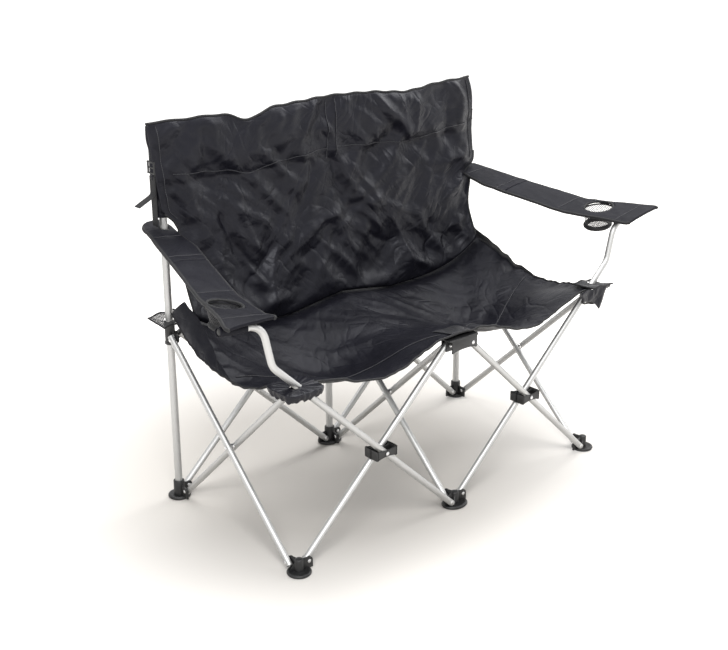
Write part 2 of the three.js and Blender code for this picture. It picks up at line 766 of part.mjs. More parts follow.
// How far the sling hangs at a share of the way from its front edge to the crease.
function seatHang(x, t) {
  return Math.sin(Math.PI * t) ** 2 * (SEAT_SIDE_SHARE + (1 - SEAT_SIDE_SHARE) * midBay(x));
}

// The front edge rests on the middle hub's plate and sags between the hubs.
function seatFrontHeight(x) {
  const plateTop = HUB_PIN_HEIGHT + HUB_HEADROOM + HUB_PLATE;
  const plateRear = FRONT_Y + SHELL_FACE + HUB_SHELL;
  const plateShare = (plateRear - SEAT_FRONT_Y) / (BACK_FOOT_Y - SEAT_FRONT_Y);
  const firstRow = SEAT_SPLIT / SEAT_ROWS;
  const drop = (SEAT_SAG * seatHang(0, firstRow) * plateShare) / firstRow;
  const middle = plateTop + SEAT_GAP + SEAT_THICK + drop;
  const share = Math.abs(x) / BAY;
  return middle + (SEAT_CORNER_Z - middle) * share ** 2 - SEAT_FRONT_SAG * midBay(x);
}

// The crease where the back meets the seat, lowest in the middle of each place.
function creaseAt(x) {
  const share = Math.abs(x) / BAY;
  const corner = share ** CREASE_SHARPNESS;
  const middle = BACK_MIDDLE_RISE * Math.max(0, 1 - 3 * share);
  return { y: BACK_FOOT_Y - CREASE_SIDE_RUN * corner, z: BACK_FOOT_Z + BACK_SIDE_RISE * corner + middle };
}

// Closed sleeves over the pole tops; the outer ones lie flat and wide at the back's side edges.
function backSleeves() {
  for (const [side, sign] of Object.entries(SIDES)) {
    const outside = turned(
      [
        [0, SLEEVE_BOTTOM],
        [SLEEVE_OUTER, SLEEVE_BOTTOM],
        [SLEEVE_OUTER, SLEEVE_TOP - CLOTH],
        [SLEEVE_OUTER - CLOTH, SLEEVE_TOP],
        [0, SLEEVE_TOP],
      ],
      TUBE_SIDES,
    );
    outside.rotateZ(Math.PI / TUBE_SIDES).scale(sign ? SLEEVE_HALF_WIDTH / SLEEVE_OUTER : 1, 1, 1);
    const sleeve = cut(solid(outside), poleBore(SLEEVE_INNER, SLEEVE_BOTTOM - CLOTH, SLEEVE_TOP - CLOTH));
    piece(`back_sleeve_${side}`, sleeve.translate([sign * BAY, REAR_Y, 0]), fabric);
  }
}

function foldLine(startX, startZ, endX, endZ) {
  return new THREE.Line3(new THREE.Vector3(startX, 0, startZ), new THREE.Vector3(endX, 0, endZ));
}

// How far folds along lines raise the cloth at a place.
function foldRise(lines, place) {
  const nearest = new THREE.Vector3();
  const rises = lines.map((line) => {
    const away = line.closestPointToPoint(place, true, nearest).distanceTo(place);
    return FOLD_RISE * Math.exp(-((away / FOLD_WIDTH) ** 2));
  });
  return rises.reduce((sum, rise) => sum + rise, 0);
}

// Padded back: it hangs between the poles, swells between its seams and runs forward to the seat.
function backPanel() {
  const edge = BAY - SLEEVE_HALF_WIDTH - SEAT_GAP;
  const clear = REAR_Y - SLEEVE_OUTER - SEAT_GAP;
  const place = (u, v) => {
    const x = edge * (2 * u - 1);
    const share = Math.abs(x) / BAY;
    const crease = creaseAt(x);
    const top = BACK_TOP - BACK_TOP_DIP * midBay(x) ** 2;
    const z = crease.z + (top - crease.z) * v;
    const flat = clear + (REAR_Y + BACK_THIN / 2 - clear) * (Math.abs(x) / edge) ** 8;
    const y = crease.y + (flat - crease.y) * (1 - (1 - v) ** 3);
    return { x, y, z, share };
  };
  const crown = ({ x, z, share }, v) => {
    const columns = swell(share);
    const far = z > BACK_SEAM_HEIGHT ? BACK_TOP : BACK_FOOT_Z;
    const rows = swell((z - BACK_SEAM_HEIGHT) / (far - BACK_SEAM_HEIGHT));
    const edges = Math.min(1, FOLD_FADE * v, FOLD_FADE * (1 - v));
    const here = new THREE.Vector3(x, 0, z);
    const folds = foldRise(BACK_RIDGES, here) - foldRise(BACK_VALLEYS, here);
    return BACK_THIN + Math.max(0, BACK_CROWN * columns * rows + folds * edges);
  };
  const rear = (u, v) => {
    const { x, y, z } = place(u, v);
    return new THREE.Vector3(x, y, z);
  };
  const front = (u, v) => {
    const spot = place(u, v);
    const lift = crown(spot, v);
    const tilt = BACK_FOOT_TILT * (1 - v) ** 3;
    return new THREE.Vector3(spot.x, spot.y - lift * Math.cos(tilt), spot.z + lift * Math.sin(tilt));
  };
  const notches = ["left", "right"].map((side) => armrestNotch(SIDES[side]));
  piece("back_panel", cut(slab(BACK_COLUMNS, BACK_ROWS, front, rear), ...notches), fabric);
}

// The back's side edge is cut away where an armrest passes it to the pole.
function armrestNotch(sign) {
  const reach = ARMREST_REAR_WIDTH / 2 + WEB;
  const middle = armrestPoint(1, 0.5, REAR_Y).z + ARMREST_THICK / 2;
  const round = rod(1, BAY / 2, ARC_SIDES).scale(reach, NOTCH_HEIGHT / 2, 1);
  return solid(aimed(round, new THREE.Vector3(sign * BAY, REAR_Y, middle), Y_AXIS));
}

// The seat's rear edge follows the crease, and at each side a wing runs on to the slider.
function seatRear(x) {
  const crease = creaseAt(x);
  const y = crease.y - BACK_THIN - SEAT_GAP;
  const z = crease.z - SEAT_GAP;
  const side = BAY - SEAT_SIDE_INSET;
  const wing = THREE.MathUtils.smoothstep(Math.abs(x), side - SEAT_WING_WIDTH, side);
  const sliderFace = REAR_Y - POLE_RADIUS - SLIDER_WALL;
  return { y: y + (sliderFace - y) * wing, z: z + (SEAT_CORNER_Z - z) * wing };
}

// Sling seat, in a front and a rear half that fold down in a V between the closing posts.
function seatPoint(u, t) {
  const edge = BAY - SEAT_SIDE_INSET;
  const x = edge * (2 * u - 1);
  const rear = seatRear(x);
  const y = SEAT_FRONT_Y + (rear.y - SEAT_FRONT_Y) * t;
  const frontZ = seatFrontHeight(x);
  const hang = seatHang(x, t);
  const wave = Math.sin(Math.PI * (SEAT_FOLD_COUNT * t + (2 * Math.abs(x)) / BAY));
  const folds = SEAT_CROWN * wave * midBay(x) * hang;
  const z = frontZ + (rear.z - frontZ) * t ** SEAT_REAR_CURVE - SEAT_SAG * hang + folds;
  return new THREE.Vector3(x, y, z);
}

function seatHalf(start, end) {
  const along = (v) => start + (end - start) * v;
  const top = (u, v) => seatPoint(u, along(v));
  const underside = (u, v) => seatPoint(u, along(v)).addScaledVector(Z_AXIS, -SEAT_THICK);
  return slab(SEAT_COLUMNS, SEAT_ROWS, top, underside);
}

function seat() {
  const gap = SEAT_GAP / (BACK_FOOT_Y - SEAT_FRONT_Y);
  const keepOuts = ["left", "right"].map((side) => {
    const { hub, path } = armPath(side);
    const along = hub.clone().sub(path[0]).normalize();
    const centre = hub.clone().addScaledVector(along, ARM_KNEE_RUN / 2);
    return solid(aimed(rod(LEG_RADIUS + 2 * SEAT_GAP, 2 * ARM_KNEE_RUN, TUBE_SIDES), centre, along));
  });
  piece("seat_front", cut(seatHalf(0, SEAT_SPLIT), ...keepOuts), fabric);
  piece("seat_rear", seatHalf(SEAT_SPLIT + gap, 1), fabric);
}

// Armrests: level where the cup holder hangs, then rising to the rear pole that passes through them.
function armrestPoint(sign, u, y) {
  const back = Math.max(0, (y - ARMREST_LEVEL_Y) / (ARMREST_REACH - ARMREST_LEVEL_Y));
  const ahead = Math.max(0, (REAR_Y - y) / (REAR_Y + ARMREST_REACH));
  const behind = Math.max(0, (y - REAR_Y) / (ARMREST_REACH - REAR_Y));
  const centre = BAY + (ARMREST_FRONT_X - BAY) * ahead;
  const full = ARMREST_REAR_WIDTH + (ARMREST_FRONT_WIDTH - ARMREST_REAR_WIDTH) * ahead ** 4;
  const width = full * Math.max(ARMREST_END_SHARE, Math.sqrt(1 - behind ** 2));
  const x = sign * (centre + width * (u - 0.5));
  return new THREE.Vector3(x, y, ARMREST_LEVEL + ARMREST_REAR_RISE * back);
}

function armrestBand(sign, from, to) {
  const low = (u, v) => armrestPoint(sign, u, from + (to - from) * v);
  const high = (u, v) => {
    const thick = ARMREST_THICK + ARMREST_CROWN * (1 - (2 * u - 1) ** 2);
    return low(u, v).addScaledVector(Z_AXIS, thick);
  };
  return slab(ARMREST_COLUMNS, ARMREST_ROWS, high, low);
}

function armrests() {
  for (const side of ["left", "right"]) {
    const sign = SIDES[side];
    const { path } = armPath(side);
    const tip = path.at(-1);
    const outward = armTipDirection(path);
    const cup = new THREE.Vector3(sign * CUP_X, CUP_Y, ARMREST_LEVEL);
    const cupHole = solid(aimed(rod(CUP_DIAMETER / 2, 6 * ARMREST_THICK, CUP_SIDES), cup, Z_AXIS));
    const pole = new THREE.Vector3(sign * BAY, REAR_Y, ARMREST_LEVEL);
    const poleHole = solid(aimed(rod(POLE_RADIUS + EYELET_GAP, BAY, TUBE_SIDES), pole, Z_AXIS));
    const bore = LEG_RADIUS + SEAT_GAP;
    const end = CAP_CROWN + SEAT_GAP;
    const start = tip.clone().addScaledVector(outward, end - POCKET_LENGTH / 2);
    const floor = start.z - bore - CLOTH - POCKET_LENGTH * outward.z / 2;
    const tall = ARMREST_LEVEL + CLOTH - floor;
    const wide = 2 * (bore + CLOTH);
    const pocket = block(POCKET_LENGTH, wide, tall, start.x, start.y, floor + tall / 2);
    const bored = rod(bore / Math.cos(Math.PI / TUBE_SIDES), POCKET_LENGTH, TUBE_SIDES);
    const inside = tip.clone().addScaledVector(outward, end - POCKET_LENGTH / 2 - WEB);
    const room = solid(aimed(bored.scale(1, 1, 1 + 2 * WEB / POCKET_LENGTH), inside, outward));
    const front = join(armrestBand(sign, -ARMREST_REACH, ARMREST_SPLIT_Y - SEAT_GAP), pocket);
    piece(`armrest_front_${side}`, cut(front, cupHole, room), fabric);
    piece(`armrest_rear_${side}`, cut(armrestBand(sign, ARMREST_SPLIT_Y, ARMREST_REACH), poleHole), fabric);
    piece(`cup_net_${side}`, cupNet().translate([cup.x, cup.y, ARMREST_LEVEL - SEAT_GAP]), webbing);
  }
}

// A tapered net under the armrest's hole, with a bound rim and a closed base.
function cupNet() {
  const inner = CUP_DIAMETER / 2;
  const base = CUP_BASE_DIAMETER / 2;
  return solid(turned(
    [
      [0, -CUP_DEPTH],
      [base, -CUP_DEPTH],
      [inner + NET_THICK, -NET_THICK],
      [inner + CUP_FLANGE, -NET_THICK],
      [inner + CUP_FLANGE, 0],
      [inner, 0],
      [base - NET_THICK, NET_THICK - CUP_DEPTH],
      [0, NET_THICK - CUP_DEPTH],
    ],
    CUP_SIDES,
  ));
}

// Webbing straps hold the armrests' rear ends up to the sleeves, each with a buckle and a loose tail.
function straps() {
  const seam = armrestPoint(1, 0.5, REAR_Y + STRAP_WIDTH / 2);
  const armrestTop = seam.z + ARMREST_THICK + ARMREST_CROWN + SEAT_GAP;
  for (const side of ["left", "right"]) {
    const sign = SIDES[side];
    const x = sign * (BAY + SLEEVE_HALF_WIDTH + SEAT_GAP + STRAP_THICK / 2);
    const tall = STRAP_TOP - armrestTop;
    const ribbon = block(STRAP_THICK, STRAP_WIDTH, tall, x, REAR_Y, armrestTop + tall / 2);
    const angle = THREE.MathUtils.degToRad(STRAP_TAIL_ANGLE);
    const tail = new THREE.BoxGeometry(STRAP_THICK, STRAP_WIDTH, STRAP_TAIL_LENGTH);
    tail.translate(0, 0, -STRAP_TAIL_LENGTH / 2).rotateY(sign * -angle);
    const loop = BUCKLE_HEIGHT - BUCKLE_SIZE / 2 - WEB;
    piece(`strap_${side}`, join(ribbon, solid(tail.translate(x, REAR_Y, loop))), webbing);
    const frame = roundedRectangle(BUCKLE_SIZE / 2, BUCKLE_SIZE / 2, WEB);
    for (const way of [-1, 1]) {
      const slot = new THREE.Path();
      const [low, high] = [way * STRAP_THICK, way * (BUCKLE_SIZE / 2 - BUCKLE_THICK)];
      slot.moveTo(-STRAP_WIDTH / 2, low).lineTo(STRAP_WIDTH / 2, low);
      slot.lineTo(STRAP_WIDTH / 2, high).lineTo(-STRAP_WIDTH / 2, high);
      frame.holes.push(slot.closePath());
    }
    const buckle = extruded(frame, BUCKLE_THICK, 2).rotateX(Math.PI / 2).rotateZ(Math.PI / 2);
    const out = x + sign * (STRAP_THICK / 2 + SEAT_GAP + BUCKLE_THICK / 2) - BUCKLE_THICK / 2;
    piece(`buckle_${side}`, solid(buckle.translate(out, REAR_Y, BUCKLE_HEIGHT)), plastic);
  }
}

depthLegs();
rearLegs();
frontLegs();
armTubes();
rearPoles();
crossingRivets();
crossBrackets();
feet();
sliders();
cornerHubs();
frontHub();
backSleeves();
backPanel();
seat();
armrests();
straps();

export default loveseat;
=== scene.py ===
"""Looks of a folding camping loveseat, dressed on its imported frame. Metres, +Z up, the front faces -Y."""

import json
import logging
import math
from abc import ABC, abstractmethod
from collections.abc import Callable, Sequence
from dataclasses import dataclass
from enum import Enum
from itertools import accumulate

import bmesh
import bpy
import numpy as np
from mathutils import Matrix, Quaternion, Vector, noise

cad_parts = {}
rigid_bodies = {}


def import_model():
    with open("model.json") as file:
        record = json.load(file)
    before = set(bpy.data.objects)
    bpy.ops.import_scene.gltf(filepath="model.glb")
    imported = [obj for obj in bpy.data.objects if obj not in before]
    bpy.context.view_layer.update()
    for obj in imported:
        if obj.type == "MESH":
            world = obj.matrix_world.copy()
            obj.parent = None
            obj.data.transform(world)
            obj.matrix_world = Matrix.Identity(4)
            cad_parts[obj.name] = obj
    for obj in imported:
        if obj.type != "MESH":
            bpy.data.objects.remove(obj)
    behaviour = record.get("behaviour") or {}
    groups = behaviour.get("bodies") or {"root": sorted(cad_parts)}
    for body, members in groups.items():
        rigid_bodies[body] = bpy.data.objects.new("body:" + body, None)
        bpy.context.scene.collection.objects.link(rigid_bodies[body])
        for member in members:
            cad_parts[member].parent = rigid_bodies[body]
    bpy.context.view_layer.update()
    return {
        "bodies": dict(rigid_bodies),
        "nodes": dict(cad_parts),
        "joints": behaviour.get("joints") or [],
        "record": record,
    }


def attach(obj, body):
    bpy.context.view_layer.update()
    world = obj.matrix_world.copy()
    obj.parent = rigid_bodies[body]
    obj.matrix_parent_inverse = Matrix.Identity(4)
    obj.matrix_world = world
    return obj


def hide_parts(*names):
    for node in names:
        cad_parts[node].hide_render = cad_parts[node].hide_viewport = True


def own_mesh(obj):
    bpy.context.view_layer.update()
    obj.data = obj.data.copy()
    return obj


log = logging.getLogger("loveseat")

Array = np.ndarray
BMesh = bmesh.types.BMesh
Colour = tuple[float, float, float, float]
Form = Callable[[Array, Array], Array]
Mesh = bpy.types.Mesh
Pair = tuple[float, float]
Outline = list[Pair]
Path = Sequence[Vector]
Piece = bpy.types.Object
Place = tuple[float, float, float]
Sockets = dict[int | str, object]

UP = Vector((0, 0, 1))
BACK = Vector((0, 1, 0))
ACROSS = Vector((1, 0, 0))
GAP = 0.0003
STITCH_RADIUS = 0.0009
STITCH_RISE = 0.0012
SHARP_TURN = 0.9
CLOTH_SETTINGS = {
    "quality": 5,
    "mass": 0.15,
    "tension_stiffness": 20.0,
    "compression_stiffness": 20.0,
    "shear_stiffness": 6.0,
    "air_damping": 3.0,
    "vertex_group_mass": "held",
}
# The back's main folds in millimetres: two places across and up, the width and the rise.
FOLD_ROWS = (
    (-393, 945, -379, 834, 21, -9),
    (-362, 749, -258, 570, 20, -14),
    (-328, 754, -247, 600, 24, 11),
    (-258, 570, -169, 684, 20, -12),
    (-233, 464, -175, 685, 33, 14),
    (-330, 649, -265, 549, 20, -9),
    (-132, 577, -35, 620, 20, -8),
    (-137, 623, 23, 672, 27, 11),
    (-94, 725, -65, 818, 20, -9),
    (38, 808, 154, 672, 27, 13),
    (7, 829, 30, 732, 20, -9),
    (82, 938, 161, 841, 21, 9),
    (-482, 815, -441, 722, 27, 8),
    (156, 944, 270, 825, 24, 10),
    (295, 954, 275, 831, 24, 8),
    (416, 900, 419, 805, 20, -9),
    (373, 742, 483, 754, 20, 8),
    (385, 643, 485, 698, 24, 9),
    (339, 602, 322, 491, 20, -11),
    (174, 658, 247, 484, 27, 12),
    (378, 552, 474, 592, 30, 8),
    (104, 609, 210, 555, 20, -8),
    (78, 668, 156, 600, 20, 8),
)


class Side(Enum):
    """The three rows of posts, with their place across the chair in bays."""

    LEFT = -1
    MIDDLE = 0
    RIGHT = 1

    @property
    def word(self) -> str:
        """The side's name as the CAD nodes spell it."""
        return self.name.lower()


OUTER = (Side.LEFT, Side.RIGHT)


class Way(Enum):
    """The kinds of legs, by the way that each runs up from its foot."""

    FORWARD = "forward"
    REARWARD = "rearward"
    OUTWARD = "outward"
    INWARD = "inward"
    FRONT = "front"
    ARM = "arm"


class Look(Enum):
    """The finishes, each with the record's material slot and a name of its own."""

    TUBE = ("tube_aluminium", "satin_tube")
    RIVET = ("rivet_steel", "pressed_rivet")
    PLASTIC = ("black_plastic", "moulded_plastic")
    CLOTH = ("black_cloth", "woven_cloth")
    SEAT = ("black_cloth", "seat_cloth")
    BAND = ("black_cloth", "armrest_cloth")
    BINDING = ("black_cloth", "binding_tape")
    THREAD = ("black_webbing", "sewing_thread")
    WEBBING = ("black_webbing", "strap_webbing")
    NET = ("black_webbing", "cup_net")
    MESH = ("black_webbing", "corner_mesh")
    PATCH = ("black_cloth", "patch_cloth")

    @property
    def slot(self) -> str:
        """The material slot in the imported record."""
        return self.value[0]

    @property
    def title(self) -> str:
        """The name of its material."""
        return self.value[1]


def operator(operation: str, swapped: bool = False) -> Callable[["Value", "Value | float"], "Value"]:
    """Makes an operator of Value that adds one Math node.

    Args:
        operation: the node's operation.
        swapped: whether the other value comes first, as in a reflected form.

    Returns:
        The operator's method.
    """

    def method(self: "Value", other: "Value | float") -> "Value":
        """The operation on the two values."""
        return self.math(operation, *((other, self) if swapped else (self, other)))

    return method


class Value:
    """A shader value that joins Python expressions, where each operation adds a Math node."""

    __add__ = operator("ADD")
    __radd__ = operator("ADD", True)
    __sub__ = operator("SUBTRACT")
    __rsub__ = operator("SUBTRACT", True)
    __mul__ = operator("MULTIPLY")
    __rmul__ = operator("MULTIPLY", True)
    __gt__ = operator("GREATER_THAN")
    __pow__ = operator("POWER")

    def __init__(self, shader: "Shader", socket: bpy.types.NodeSocket) -> None:
        """Wraps an output socket of the shader's tree."""
        self.shader = shader
        self.socket = socket

    def math(self, operation: str, *terms: "Value | float") -> "Value":
        """The result of one Math node on its inputs in order."""
        return self.shader.output("ShaderNodeMath", dict(enumerate(terms)), operation=operation)

    def sine(self) -> "Value":
        """The sine of the value."""
        return self.math("SINE", self)

    def size(self) -> "Value":
        """The value without its sign."""
        return self.math("ABSOLUTE", self)


class Shader:
    """A material's or the world's node tree, with a method that makes any node."""

    def __init__(self, tree: bpy.types.NodeTree) -> None:
        """Empties the tree and starts anew in it."""
        self.tree = tree
        self.tree.nodes.clear()

    def node(self, kind: str, sockets: Sockets, **settings: object) -> bpy.types.Node:
        """Makes a node.

        Args:
            kind: the node's type.
            sockets: values or links of its inputs, by name or number.
            settings: its own settings, set first; "stops" holds a ramp's places and colours.

        Returns:
            The node.
        """
        node = self.tree.nodes.new(kind)
        for name, value in settings.items():
            if name == "stops":
                for element, stop in zip(node.color_ramp.elements, value):
                    element.position, element.color = stop
            else:
                setattr(node, name, value)
        for key, value in sockets.items():
            if isinstance(value, Value):
                self.tree.links.new(value.socket, node.inputs[key])
            else:
                node.inputs[key].default_value = value
        return node

    def output(self, kind: str, sockets: Sockets, number: int = 0, **settings: object) -> Value:
        """Makes a node and gives the output of that number."""
        return Value(self, self.node(kind, sockets, **settings).outputs[number])

    def objects(self) -> Value:
        """The place on the object."""
        return self.output("ShaderNodeTexCoord", {}, 3)

    def attribute(self, name: str) -> Value:
        """A vector attribute of the mesh."""
        return self.output("ShaderNodeAttribute", {}, 1, attribute_name=name)

    def stretched(self, vector: Value, scale: Place) -> Value:
        """A vector scaled along each axis."""
        return self.output("ShaderNodeMapping", {"Vector": vector, "Scale": scale})

    def noise(self, vector: Value, scale: float, detail: float, roughness: float = 0.55) -> Value:
        """Noise from 0 to 1 at a number of cells to the metre."""
        sockets = {"Vector": vector, "Scale": scale, "Detail": detail, "Roughness": roughness}
        return self.output("ShaderNodeTexNoise", sockets)

    def parts(self, vector: Value) -> list[Value]:
        """A vector's three numbers."""
        node = self.node("ShaderNodeSeparateXYZ", {0: vector})
        return [Value(self, socket) for socket in node.outputs]

    def ramp(self, factor: Value, low: tuple[float, Colour], high: tuple[float, Colour]) -> Value:
        """A colour between two stops."""
        return self.output("ShaderNodeValToRGB", {0: factor}, stops=[low, high])

    def span(self, factor: Value, low: float, high: float) -> Value:
        """A factor from 0 to 1 as a number from low to high."""
        return factor * (high - low) + low

    def bump(self, height: Value, distance: float, strength: float, under: Value | None = None) -> Value:
        """A bumped normal.

        Args:
            height: the relief, about 0 to 1.
            distance: its depth in metres.
            strength: how strongly it shows.
            under: a normal that it is laid over.

        Returns:
            The normal.
        """
        sockets = {"Height": height, "Distance": distance, "Strength": strength}
        if under is not None:
            sockets["Normal"] = under
        return self.output("ShaderNodeBump", sockets)

    def surface(self, **sockets: object) -> None:
        """Ends the tree in a Principled surface, whose inputs are named with _ for a space.

        Args:
            sockets: values or links of its inputs.
        """
        named = {name.replace("_", " "): value for name, value in sockets.items()}
        shade = self.output("ShaderNodeBsdfPrincipled", named)
        self.node("ShaderNodeOutputMaterial", {"Surface": shade})


def grey(tone: float, blue: float = 1) -> Colour:
    """A grey whose blue is a share of its red and green."""
    return (tone, tone, tone * blue, 1)


class Finish(ABC):
    """A material that can be made once and worn by many pieces."""

    @abstractmethod
    def dress(self, shader: Shader) -> None:
        """Fills the shader's tree."""

    def material(self, name: str) -> bpy.types.Material:
        """The finish as a material of that name.

        Args:
            name: the material's name.

        Returns:
            The material.
        """
        material = bpy.data.materials.new(name)
        material.use_nodes = True
        self.dress(Shader(material.node_tree))
        return material


@dataclass(frozen=True)
class SatinTube(Finish):
    """Satin anodised tube with fine lines drawn along it."""

    dark: Colour = grey(0.45, 0.985)
    pale: Colour = grey(0.53, 0.99)
    roughness: float = 0.5
    lines: float = 900
    line_stretch: float = 0.012
    line_depth: float = 0.00002
    patches: float = 9

    def dress(self, shader: Shader) -> None:
        """Drawn lines follow the tube, and handling leaves faint patches.

        Args:
            shader: the tree to fill.
        """
        along = shader.stretched(shader.attribute("drawn"), (1, 1, self.line_stretch))
        lines = shader.noise(along, self.lines, 2)
        patches = shader.noise(shader.objects(), self.patches, 4)
        shader.surface(
            Base_Color=shader.ramp(lines * 0.5 + patches * 0.5, (0.3, self.dark), (0.7, self.pale)),
            Metallic=1,
            Roughness=shader.span(patches, self.roughness - 0.06, self.roughness + 0.1),
            Normal=shader.bump(lines, self.line_depth, 0.2),
        )


@dataclass(frozen=True)
class PressedSteel(Finish):
    """Plain pressed rivets with a few scuffs."""

    dark: Colour = grey(0.576)
    pale: Colour = grey(0.72)
    scuffs: float = 900
    scuff_depth: float = 0.00006

    def dress(self, shader: Shader) -> None:
        """Scuffs change the polish.

        Args:
            shader: the tree to fill.
        """
        scuffs = shader.noise(shader.objects(), self.scuffs, 4)
        shader.surface(
            Base_Color=shader.ramp(scuffs, (0.35, self.dark), (0.65, self.pale)),
            Metallic=1,
            Roughness=shader.span(scuffs, 0.18, 0.42),
            Normal=shader.bump(scuffs, self.scuff_depth, 0.4),
        )


@dataclass(frozen=True)
class Moulding(Finish):
    """Matt black moulded plastic with a fine spark grain and faint dust in patches."""

    dark: Colour = grey(0.009, 1.05)
    pale: Colour = grey(0.022, 1.02)
    roughness: float = 0.42
    grain: float = 1500
    grain_depth: float = 0.00012
    wear: float = 55

    def dress(self, shader: Shader) -> None:
        """Grain in the relief, and soft wear in the polish.

        Args:
            shader: the tree to fill.
        """
        place = shader.objects()
        grain = shader.noise(place, self.grain, 2)
        wear = shader.noise(place, self.wear, 5, 0.65)
        shader.surface(
            Base_Color=shader.ramp(wear, (0.35, self.dark), (0.75, self.pale)),
            Roughness=shader.span(wear, self.roughness - 0.08, self.roughness + 0.16),
            Normal=shader.bump(grain, self.grain_depth, 0.35),
            Specular_IOR_Level=0.45,
        )


@dataclass(frozen=True)
class WovenCloth(Finish):
    """Plain woven polyester: a fine weave, small creases and a slight blue sheen."""

    dark: Colour = (0.0032, 0.0032, 0.0052, 1)
    pale: Colour = (0.0075, 0.0075, 0.0115, 1)
    sheen: Colour = (0.92, 0.93, 1, 1)
    pitch: float = 0.0011
    weave_depth: float = 0.0002
    slubs: float = 900
    patches: float = 11
    crease_depth: float = 0.015
    crease_scale: float = 17
    crease_lean: float = 0.7
    crease_stretch: float = 0.3
    crease_drift: float = 0.12
    drift_scale: float = 6
    fine_scale: float = 2.4
    fine_depth: float = 0.13
    roughness: float = 0.4
    gloss: float = 0.24

    def creases(self, shader: Shader, flat: Value, scale: float) -> Value:
        """Long narrow valleys that lean to both sides.

        Args:
            shader: the tree that they are made in.
            flat: the cloth's flat coordinates.
            scale: creases to the metre.

        Returns:
            The height, zero in the valleys.
        """
        sockets = {"Vector": flat, "Scale": self.drift_scale, "Detail": 1}
        drift = shader.output("ShaderNodeTexNoise", sockets, 1)
        sockets = {0: drift, "Scale": self.crease_drift}
        shift = shader.output("ShaderNodeVectorMath", sockets, operation="SCALE")
        swayed = shader.output("ShaderNodeVectorMath", {0: flat, 1: shift}, operation="ADD")
        heights = []
        for lean in (-self.crease_lean, self.crease_lean):
            sockets = {"Vector": swayed, "Angle": lean}
            turned = shader.output("ShaderNodeVectorRotate", sockets, rotation_type="Z_AXIS")
            long = shader.stretched(turned, (1, self.crease_stretch, 1))
            heights.append((shader.noise(long, scale, 2, 0.5) - 0.5).size())
        return heights[0].math("SMOOTH_MIN", *heights, 0.04)

    def dress(self, shader: Shader) -> None:
        """Weave and creases on the cloth's own flat coordinates, tone on the object's.

        Args:
            shader: the tree to fill.
        """
        flat = shader.attribute("weave")
        across, along, _ = shader.parts(flat)
        turns = 2 * math.pi / self.pitch
        weave = (across * turns).sine() * (along * turns).sine()
        slubs = shader.noise(shader.stretched(flat, (1, 0.06, 1)), self.slubs, 2)
        creases = self.creases(shader, flat, self.crease_scale)
        fine = self.creases(shader, flat, self.fine_scale * self.crease_scale)
        patches = shader.noise(shader.objects(), self.patches, 5, 0.6)
        relief = shader.bump(creases, self.crease_depth, 1)
        relief = shader.bump(fine, self.crease_depth * self.fine_depth, 0.8, relief)
        relief = shader.bump(weave * 0.5 + slubs * 0.5, self.weave_depth, 0.3, relief)
        polish = slubs * 0.5 + creases * 0.5
        shader.surface(
            Base_Color=shader.ramp(patches * 0.7 + slubs * 0.3, (0.3, self.dark), (0.7, self.pale)),
            Roughness=shader.span(polish, self.roughness - 0.1, self.roughness + 0.16),
            Normal=relief,
            Specular_IOR_Level=self.gloss,
            Specular_Tint=self.sheen,
        )


@dataclass(frozen=True)
class RibbedWebbing(Finish):
    """Woven webbing or binding tape with ribs across it."""

    dark: Colour = grey(0.005, 1.15)
    pale: Colour = grey(0.012, 1.12)
    rib: float = 0.0016
    rib_depth: float = 0.0003
    line_share: float = 1.6
    fuzz: float = 420

    def dress(self, shader: Shader) -> None:
        """Ribs on the tape's own coordinates.

        Args:
            shader: the tree to fill.
        """
        across, along, _ = shader.parts(shader.attribute("weave"))
        ribs = (along * (2 * math.pi / self.rib)).sine() * 0.5 + 0.5
        lines = (across * (2 * math.pi / (self.rib * self.line_share))).sine() * 0.5 + 0.5
        fuzz = shader.noise(shader.objects(), self.fuzz, 4)
        shader.surface(
            Base_Color=shader.ramp(ribs * 0.5 + fuzz * 0.5, (0.3, self.dark), (0.75, self.pale)),
            Roughness=shader.span(fuzz, 0.55, 0.8),
            Normal=shader.bump(ribs * 0.7 + lines * 0.3, self.rib_depth, 0.6),
            Specular_IOR_Level=0.35,
        )


@dataclass(frozen=True)
class SewingThread(Finish):
    """Black thread that shows as a row of stitches along a seam."""

    dark: Colour = (0.004, 0.004, 0.005, 1)
    pale: Colour = (0.032, 0.032, 0.038, 1)
    stitch: float = 0.0045
    share: float = 0.72
    depth: float = 0.0004
    twist: float = 1800

    def dress(self, shader: Shader) -> None:
        """Each stitch is a short raised dash with a gap after it.

        Args:
            shader: the tree to fill.
        """
        _, along, _ = shader.parts(shader.attribute("weave"))
        phase = along.math("FRACT", along * (1 / self.stitch))
        dash = 1 - (phase > self.share)
        twist = shader.noise(shader.objects(), self.twist, 2)
        shader.surface(
            Base_Color=shader.ramp(dash * 0.7 + twist * 0.3, (0.2, self.dark), (0.85, self.pale)),
            Roughness=shader.span(twist, 0.45, 0.65),
            Normal=shader.bump(dash, self.depth, 0.7),
        )


